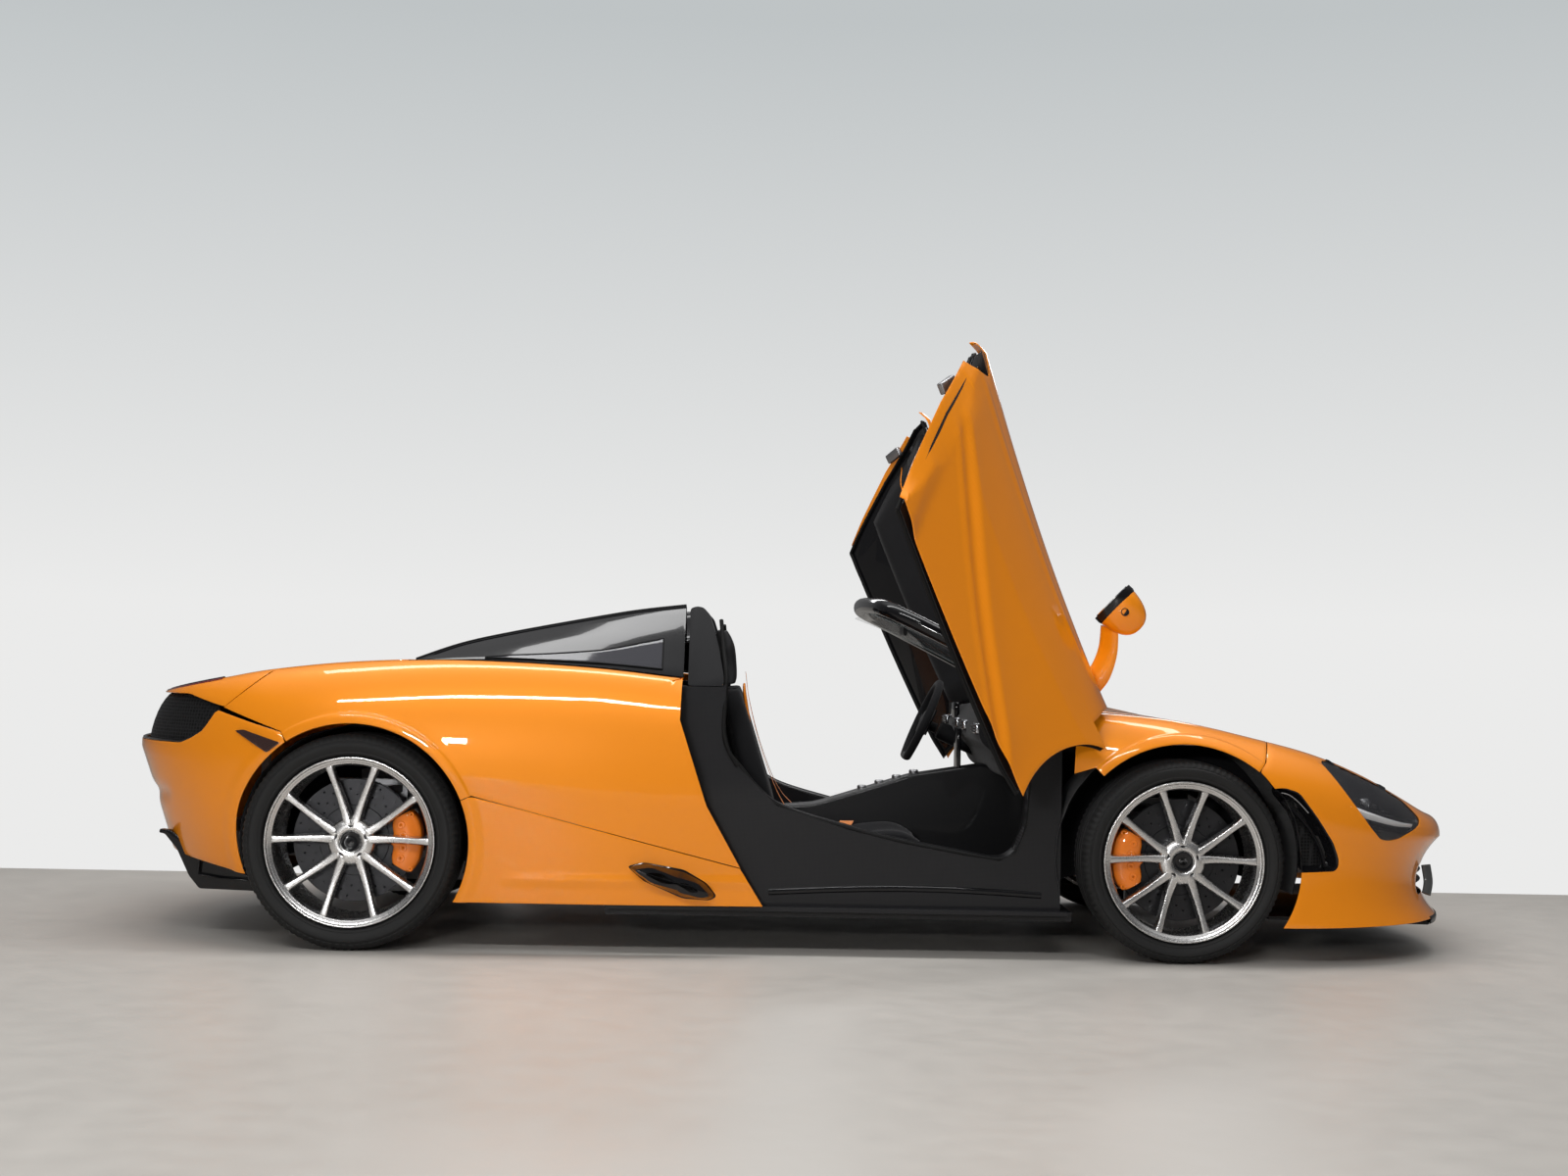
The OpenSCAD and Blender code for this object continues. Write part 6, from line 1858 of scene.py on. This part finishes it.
@dataclass
class Cabin:
    """Seats, belts, dashboard, sills with their seals, pillars and carpets."""

    seat_y: float = 370
    fill: float = 0.85

    def pad(self, name: str, spine: Sequence[Point], half: Sequence[float], thick: Sequence[float],
            bolster: Sequence[float],
            lead: float = 1.0, channels: int = 0) -> bpy.types.Object:
        """A bolstered pad lofted along a spine.

        Args:
            name: the piece's name, starting with right_.
            spine: points x and z of its face.
            half: half-widths along the spine.
            thick: thicknesses along it.
            bolster: how far the sides rise.
            lead: 1 if the face looks forwards and up.
            channels: number of sewn channels across it.

        Returns:
            The right-hand pad.
        """
        count, around = 40, 36
        points, halves = flow(spine, count), flow([(v,) for v in half], count)
        depths, rises = flow([(v,) for v in thick], count), flow([(v,) for v in bolster], count)
        rows: Rows = []
        for k, (x, z) in enumerate(points):
            a, b = points[max(k - 1, 0)], points[min(k + 1, count)]
            run = Vector((b[0] - a[0], 0, b[1] - a[1])).normalized()
            out = Vector((-run.z, 0, run.x)) * lead
            end = math.sin(math.pi * min(max(k / count, 0.0), 1.0)) ** 0.22 if 0 < k < count else 0.0
            w, t, lift = halves[k][0], depths[k][0], rises[k][0]
            line = []
            for a in turns(around):
                s = math.sin(a)
                across, rise = swell(math.cos(a), 0.55), swell(s, 0.6)
                raise_by = lift * ease((abs(across) - 0.5) / 0.4) * (1 if s > 0 else 0.25)
                groove = -3.0 * (math.exp(-((abs(across) - 0.56) / 0.03) ** 2)) * (s > 0)
                if channels and s > 0 and abs(across) < 0.55:
                    groove -= 2.6 * math.exp(-(((k / count * channels) % 1 - 0.5) / 0.1) ** 2)
                offset = (t / 2 * rise * (0.35 + 0.65 * end) + raise_by + groove) - t / 2
                line.append(Vector((x, -self.seat_y + w * across * (0.93 + 0.07 * end), z)) + out * offset)
            rows.append(line)
        piece = merge(sheet_of(name, [closing(rows[0]), *rows, closing(rows[-1])]))
        apply(piece, "SUBSURF", levels=1, render_levels=1)
        return soften(piece, angle=60)

    def seats(self) -> None:
        """Models the seats: shell, back and squab pads, headrest, belt slots, rails."""
        back = self.pad("right_seat_back", [(-60, 345), (-96, 440), (-152, 600), (-196, 780), (-204, 850)],
                        [205, 215, 222, 200, 180], [95, 80, 64, 60, 60],
                        [34, 44, 46, 34, 20], -1, 9)
        squab = self.pad("right_seat_squab", [(-30, 330), (60, 322), (200, 344), (340, 368), (425, 352)],
                         [190, 205, 222, 226, 210], [80, 86, 80, 70, 60],
                         [20, 38, 42, 30, 10], 1, 7)
        head = self.pad("right_seat_headrest", [(-206, 868), (-214, 930), (-222, 1000), (-240, 1052)],
                        [150, 122, 112, 92], [62, 60, 58, 40], [8, 10, 8, 4], -1)
        insert = self.pad("right_seat_insert", [(-176, 860), (-172, 820), (-150, 700)], [46, 60, 66], [10, 12, 10],
                          [0, 0, 0])
        for pad, finish in ((back, SUEDE), (squab, SUEDE), (head, LEATHER), (insert, ORANGE_LEATHER)):
            twin = copied(pad, pad.name.replace("right", "left", 1), mirror=True)
            for half in (pad, twin):
                dress(half, finish, "body", ("seats",) if pad is back else ())
        outline = [(-292, 1010), (-272, 1050), (-255, 1048), (-262, 980), (-262, 860), (-236, 700), (-180, 480),
                   (-128, 330), (-60, 262), (120, 236), (360, 262), (420, 300),
                   (430, 270), (380, 205), (120, 172), (-80, 180), (-150, 250), (-200, 400), (-258, 620),
                   (-290, 860)]
        shell = prism("right_seat_shell", rounded(outline, 14), Axis.Y, -self.seat_y - 205, -self.seat_y + 205)
        dress_pair(soften(shell, 0.012, 4, 35), DARK_CARBON, BOTH)
        for k, y in enumerate((-165, 165)):
            rail = block(f"right_seat_rail_{k + 1}", (-150, -self.seat_y + y - 14, 147),
                         (360, -self.seat_y + y + 14, 180), 4)
            dress_pair(rail, CAST, BOTH)

    def belts(self) -> None:
        """Models the belts over the seats, their buckles and stalks."""
        lay = flow([(-182, 900), (-172, 800), (-138, 660), (-86, 520), (-40, 440), (10, 395)], 40)
        rows = []
        for k, (x, z) in enumerate(lay):
            u = k / len(lay)
            y = -self.seat_y + lerp(92, -60, ease(u))
            lift = 6 + 7 * math.sin(math.pi * u)
            rows.append([(x + lift, y + w, z + lift * 0.7 + 1.5 * math.sin(9 * u)) for w in (-24, -20, 0, 20, 24)])
        strap = panel("right_belt_strap", rows, 1.6, edge=0.0005)
        dress_pair(strap, ORANGE_WEB, BOTH, (("seat_belts",), ("seat_belts",)))
        lap = flow([(-20, 395), (60, 405), (150, 398), (190, 372)], 24)
        rows = []
        for k, (x, _) in enumerate(lap):
            y, z = -self.seat_y + lerp(-205, 205, k / 24), lerp(392, 384,
                    k / 24) - 30 * math.sin(math.pi * k / 24) + 4
            rows.append([(x + w, y, z) for w in (-24, -20, 0, 20, 24)])
        dress_pair(panel("right_belt_lap", rows, 1.6, flip=True, edge=0.0005), ORANGE_WEB, BOTH)
        buckle = block("right_belt_buckle", (-10, -self.seat_y + 222, 330), (40, -self.seat_y + 244, 402), 6)
        dress_pair(buckle, SATIN_BLACK, BOTH)

    def dash(self) -> None:
        """Models the dashboard's shell, hood, vents, display and the console with its controls."""
        outline = [(836, 604), (836, 790), (760, 806), (650, 788), (602, 742), (608, 694), (664, 644), (704, 566),
                   (836, 526)]
        dress(soften(prism("dash_shell", rounded(outline, 26, 6), Axis.Y, -634, 634), 0.012, 4, 35), SUEDE, "body",
              ("dashboard",))
        outline = [(-556, 150), (-556, 322), (-300, 410), (80, 440), (420, 548), (690, 592), (836, 540), (836, 150)]
        dress(soften(prism("console", rounded(outline, 24, 6), Axis.Y, -72, 72), 0.012, 4, 35), DARK_CARBON, "body")
        for k, (y, w) in enumerate(((-560, 62), (-140, 56), (140, 56), (560, 62))):
            dress(block(f"dash_vent_{k + 1}", (592, y - w, 716), (612, y + w, 752), 7), GREY_TRIM, "body")
            for j in range(3):
                dress(block(f"dash_vent_{k + 1}_vane_{j + 1}", (588, y - w + 8, 722 + j * 10),
                            (600, y + w - 8, 725 + j * 10), 1), SATIN_BLACK, "body")
        dress(block("centre_screen", (586, -62, 560), (600, 62, 720), 4), SCREEN, "body")
        cluster = block("driver_display", (604, self.seat_y - 130, 744), (622, self.seat_y + 130, 806), 6)
        dress(cluster, SCREEN, "body")
        for k in range(4):
            x = 250 + k * 62
            top = lerp(440, 548, (x - 80) / 340)
            knob = turned(f"console_switch_{k + 1}", [(0.01, 0), (17, 0), (17, 9), (14, 13), (0.01, 13)],
                          lambda r, a, d, x=x, z=top: (x + r * math.cos(a), r * math.sin(a), z + d - 2), 28)
            dress(soften(knob), CAST, "body")
        column = tube("column_shroud", [(700, 370, 633), (630, 370, 664), (556, 370, 698)], 42, 34, 20, (0, 0, 1),
                      None, 0.8)
        dress(soften(column), GRAINED_BLACK, "body")

    def wheel(self) -> None:
        """Models the steering wheel: flat-bottomed rim, three spokes, boss and paddles."""
        centre = Vector((491, 370, 727))
        axis = Vector((-0.91, 0, 0.41)).normalized()
        up = Vector((0.41, 0, 0.91)).normalized()
        side = axis.cross(up)
        at = lambda a, b, d: centre + side * a + up * b + axis * d
        rim, count, radius = [], 72, 158
        for t in turns(count)[:-1]:
            height = radius * math.sin(t) if math.sin(t) > -0.82 else -130 - 0.08 * abs(radius * math.sin(t))
            rim.append(at(radius * math.cos(t), height, 0))
        rows: Rows = []
        for k in range(count + 1):
            i = k % count
            run = (rim[(i + 1) % count] - rim[(i - 1) % count]).normalized()
            out = run.cross(axis).normalized()
            rows.append([rim[i] + out * 14.5 * math.cos(b) + axis * 15 * math.sin(b) for b in turns(16)])
        dress(soften(merge(sheet_of("wheel_rim", rows)), angle=60), SUEDE, "steering_wheel",
              ("steering_wheel",))
        boss = turned("wheel_boss", [(0.01, -62), (18, -62), (18, -30), (46, -28), (50, -6), (44, 4), (0.01, 7)],
                      lambda r, a, d: at(r * math.cos(a) * (1.2 if d > -29 else 1), r * math.sin(a), d), 48)
        dress(soften(boss, 0.002), LEATHER, "steering_wheel")
        for k, t in enumerate((4, 176, 270)):
            c, s = math.cos(math.radians(t)), math.sin(math.radians(t))
            reach = 148 if t != 270 else 128
            path = [at(r * c, r * s, lerp(-8, -1, r / 150)) for r in np.linspace(36, reach, 10)]
            dress(soften(tube(f"wheel_spoke_{k + 1}", path, 15, 4.5, 14, tuple(axis), None, 0.7)), GREY_TRIM,
                  "steering_wheel")
        for k, hand in enumerate((-1, 1)):
            path = [at(hand * 70, y, -26) for y in (-40, -10, 30, 62)]
            dress(soften(tube(f"shift_paddle_{k + 1}", path, 4, 16, 12, tuple(side), None, 0.6)), CARBON,
                  "steering_wheel")

    def sills(self) -> None:
        """Models the openings' seals, the sills' covers, carpets and the bulkhead's trim."""
        opening = [(-240, 870), (-246, 684), (-189, 594), (-68, 476), (177, 400), (344, 361), (542, 326),
                   (662, 309), (717, 337), (751, 420), (762, 547), (772, 700), (790, 778)]
        bead = [(x, -781, z + 5) for x, z in flow(opening, 120)]
        dress_pair(soften(tube("right_opening_seal", bead, 6, 7, 10)), SEAL_RUBBER, BOTH)
        second = [(x, -655, z + 4) for x, z in flow(opening, 120)]
        dress_pair(soften(tube("right_inner_seal", second, 5, 5, 10)), SEAL_RUBBER, BOTH)
        rows = []
        for x, z in flow(opening[2:9], 60):
            rows.append([(x, y, z + h) for y, h in ((-776, 2), (-760, 6), (-700, 8), (-672, 6), (-660, 2))])
        dress_pair(panel("right_sill_cover", rows, 3, flip=True), SATIN_BLACK, BOTH)
        lip = [(x, -846, 146) for x in np.linspace(-610, 872, 30)]
        dress_pair(soften(tube("right_sill_lip", lip, 4, 8, 12)), SATIN_BLACK, BOTH)
        ridge = [(x, -786, 196 + 18 * math.sin((x + 90) / 300)) for x in np.linspace(-90, 800, 40)]
        dress_pair(soften(tube("right_sill_ridge", ridge, 5, 12, 12)), GLOSS_BLACK, BOTH)
        dress(block("cabin_carpet", (-585, -632, 146), (838, 632, 156), 3), CARPET, "body")
        dress(block("rear_bulkhead_trim", (-589, -632, 160), (-575, 632, 850), 8), SUEDE, "body")
        for k, y in enumerate((300, 370)):
            dress(block(f"left_pedal_{k + 1}", (786, y - 22, 250), (800, y + 22, 330), 5), CAST, "body")

    def glass(self) -> None:
        """Models the windscreen, its pillars and header."""
        rows = []
        for f in steps(24):
            x0, z0 = lerp(978, 262, f), lerp(793.6, 1124, f) + 26 * math.sin(math.pi * f)
            w, bow = lerp(592, 522, f), lerp(60, 20, f)
            rows.append([(x0 - bow * y * y, w * y, z0 - 8 * y * y) for y in np.linspace(-1, 1, 33)])
        dress(panel("screen_pane", rows, 5, flip=True, edge=0), SCREEN_GLASS, "body", ("windscreen",))
        pillar = [(950, 630, 788), (905, 640, 824), (780, 642, 890), (600, 630, 982), (440, 608, 1062),
                  (345, 582, 1108), (300, 540, 1130), (275, 440, 1140), (255, 240, 1148), (250, 0, 1152)]
        path = [(x, -y, z) for x, y, z in pillar] + [(x, y, z) for x, y, z in reversed(pillar[:-1])]
        bar = tube("screen_frame", flow(path, 110), 34, 27, 18, (0, 0, 1), None, 0.8)
        dress(soften(bar, angle=50), GLOSS_BLACK, "body", ("windscreen_frame",))
        seal = [(x - 6, y * 0.955, z - 16) for x, y, z in flow(path, 110)]
        dress(soften(tube("screen_seal", seal, 6, 6, 10)), SEAL_RUBBER, "body")
        mirror = tube("cabin_mirror", [(390, y, 1072 - 0.0006 * y * y) for y in np.linspace(-110, 110, 15)], 10, 26,
                      16, (0, 0, 1), lambda u: 0.75 + 0.25 * math.sin(math.pi * u), 0.7)
        dress(soften(mirror), SATIN_BLACK, "body")
        dress(soften(tube("cabin_mirror_stem", [(300, 0, 1128), (350, 0, 1104), (384, 0, 1082)], 6, 6, 12)),
              SATIN_BLACK, "body")
        for k, y in enumerate((-300, 80)):
            arm = [(940 - 0.0002 * (y + w) ** 2, y + w, 818 - 0.00002 * w * w) for w in np.linspace(0, 330, 16)]
            dress(soften(tube(f"wiper_{k + 1}", arm, 6, 4, 10)), SATIN_BLACK, "body")

    def build(self) -> None:
        """Builds the cabin."""
        self.seats()
        self.belts()
        self.dash()
        self.wheel()
        self.sills()
        self.glass()


@dataclass
class Underside:
    """Wheel-arch liners and the finishes of the hidden frame."""

    reach: tuple[float, float] = (-16, 196)
    rib: float = 1.5

    def liner(self, axle: Point, radius: float, name: str, inner_y: float, outer_y: float) -> None:
        """Models one pair of ribbed arch liners.

        Args:
            axle: the wheel's axle, as x and z.
            radius: the liner's radius about it.
            name: the piece's name, starting with right_.
            inner_y: distance of its inner wall from the centreline.
            outer_y: distance of its outer edge.
        """
        rows = []
        for y in np.linspace(inner_y, outer_y, 12):
            ribbed = [arch(axle, radius - self.rib * (math.sin(k * 1.1) > 0.6), a)
                      for k, a in enumerate(np.linspace(*self.reach, 72))]
            rows.append([(x, -y, z) for x, z in ribbed])
        dress_pair(panel(name, rows, 2.5, edge=0), CARPET, BOTH,
                   (("wheel_liners",), ("wheel_liners",)))
        wall = []
        for r in (radius, 300, 240, 215):
            wall.append([(x, -inner_y, z) for x, z in (arch(axle, r, a) for a in np.linspace(*self.reach, 60))])
        dress_pair(panel(name + "_wall", wall, 2.5, edge=0), CARPET, BOTH)

    def build(self) -> None:
        """Dresses the hidden frame and builds the liners."""
        self.liner(FRONT_AXLE, 394, "right_front_liner", 516, 800)
        self.liner(REAR_AXLE, 366, "right_rear_liner", 516, 838)
        for node, finish in {"tub": CARBON, "luggage_tub": CARPET, "front_structure": CAST, "rear_structure": CAST,
                             "engine": ENGINE_CAST, "suspension_arms": CAST, "rear_knuckles": CAST,
                             "right_knuckle": CAST, "left_knuckle": CAST,
                             "splitter": DARK_CARBON}.items():
            recoat(node, finish)


@dataclass
class Studio:
    """Floor, soft light and the camera."""

    eye: tuple[float, float, float] = (-0.188, -8.23, 0.966)
    lens: float = 52.3
    yaw: float = 1.0
    pitch: float = 1.7
    roll: float = 1.09
    wall_low: tuple[float, float, float] = (0.83, 0.83, 0.825)
    wall_high: tuple[float, float, float] = (0.52, 0.55, 0.56)
    low_light: float = 0.12
    high_light: float = 0.3

    def floor(self) -> None:
        """Makes the floor."""
        bpy.ops.object.select_all(action="DESELECT")
        bpy.ops.mesh.primitive_circle_add(vertices=96, radius=40, fill_type="NGON")
        ground = bpy.context.active_object
        ground.name = "studio_floor"
        ground.data.materials.append(CONCRETE.material())

    def lamp(self, name: str, place: Point, aim: Point, size: tuple[float, float], power: float) -> None:
        """Adds a soft rectangular lamp.

        Args:
            name: the lamp's name.
            place: where it stands, in metres.
            aim: the point that it faces.
            size: its length and height.
            power: its power in watts.
        """
        bpy.ops.object.light_add(type="AREA", location=place)
        lamp = bpy.context.active_object
        lamp.name = name
        lamp.data.shape = "RECTANGLE"
        lamp.data.size, lamp.data.size_y = size
        lamp.data.energy = power
        lamp.rotation_euler = (Vector(aim) - Vector(place)).to_track_quat("-Z", "Y").to_euler()

    def world(self) -> None:
        """Makes the pale sweep that the camera sees and the even light that the car gets."""
        world = bpy.data.worlds.new("studio")
        bpy.context.scene.world = world
        world.use_nodes = True
        tree = world.node_tree
        tree.nodes.clear()
        add = lambda kind: tree.nodes.new("ShaderNode" + kind)
        where, split, ramp, path = add("TexCoord"), add("SeparateXYZ"), add("ValToRGB"), add("LightPath")
        tree.links.new(where.outputs["Generated"], split.inputs[0])
        tree.links.new(split.outputs[2], ramp.inputs[0])
        stops = ramp.color_ramp.elements
        stops[0].position, stops[0].color = 0.02, (*self.wall_low, 1)
        stops[1].position, stops[1].color = 0.27, (*self.wall_high, 1)
        glow = add("ValToRGB")
        tree.links.new(split.outputs[2], glow.inputs[0])
        for stop, (height, value) in zip((*glow.color_ramp.elements, glow.color_ramp.elements.new(0.6)),
                                         ((0.0, self.low_light), (1.0, self.high_light),
                                          (0.6, self.low_light * 1.3))):
            stop.position, stop.color = height, (value, value, value * 1.02, 1)
        seen, light, mix, out = add("Background"), add("Background"), add("MixShader"), add("OutputWorld")
        tree.links.new(ramp.outputs[0], seen.inputs[0])
        tree.links.new(glow.outputs[0], light.inputs[0])
        tree.links.new(path.outputs["Is Camera Ray"], mix.inputs[0])
        tree.links.new(light.outputs[0], mix.inputs[1])
        tree.links.new(seen.outputs[0], mix.inputs[2])
        tree.links.new(mix.outputs[0], out.inputs[0])

    def camera(self) -> None:
        """Sets up the camera."""
        bpy.ops.object.camera_add(location=self.eye)
        camera = bpy.context.active_object
        yaw, pitch = math.radians(self.yaw), math.radians(self.pitch)
        ahead = Vector((math.sin(yaw) * math.cos(pitch), math.cos(yaw) * math.cos(pitch), math.sin(pitch)))
        turn = ahead.to_track_quat("-Z", "Y").to_matrix() @ Matrix.Rotation(math.radians(self.roll), 3, "Z")
        camera.rotation_euler = turn.to_euler()
        camera.data.lens, camera.data.sensor_width = self.lens, 36
        bpy.context.scene.camera = camera

    def build(self) -> None:
        """Builds the studio."""
        self.floor()
        self.lamp("overhead", (0, -0.4, 4.8), (0, 0, 0), (6.0, 0.9), 150)
        self.lamp("front_strip", (-1.2, -6.8, 4.8), (0, 0, 0.5), (5.5, 0.3), 215)
        self.lamp("front_low", (-2.0, -10.0, 2.0), (0, 0, 0.6), (0.9, 0.35), 170)
        self.lamp("back_fill", (0.5, 7.0, 3.6), (0, 0, 0.6), (6, 0.8), 70)
        self.world()
        self.camera()
        bpy.context.scene.view_settings.view_transform = "Standard"


def main() -> None:
    """Builds everything in order."""
    logging.basicConfig(level=logging.INFO, format="%(name)s %(message)s")
    for part in (Studio(), Fenders(), Quarters(), Nose(), Tail(), Buttresses(), Doors(), Wheels(), Cabin(),
                 Underside()):
        log.info("building %s", type(part).__name__)
        part.build()


if __name__ == "__main__":
    main()
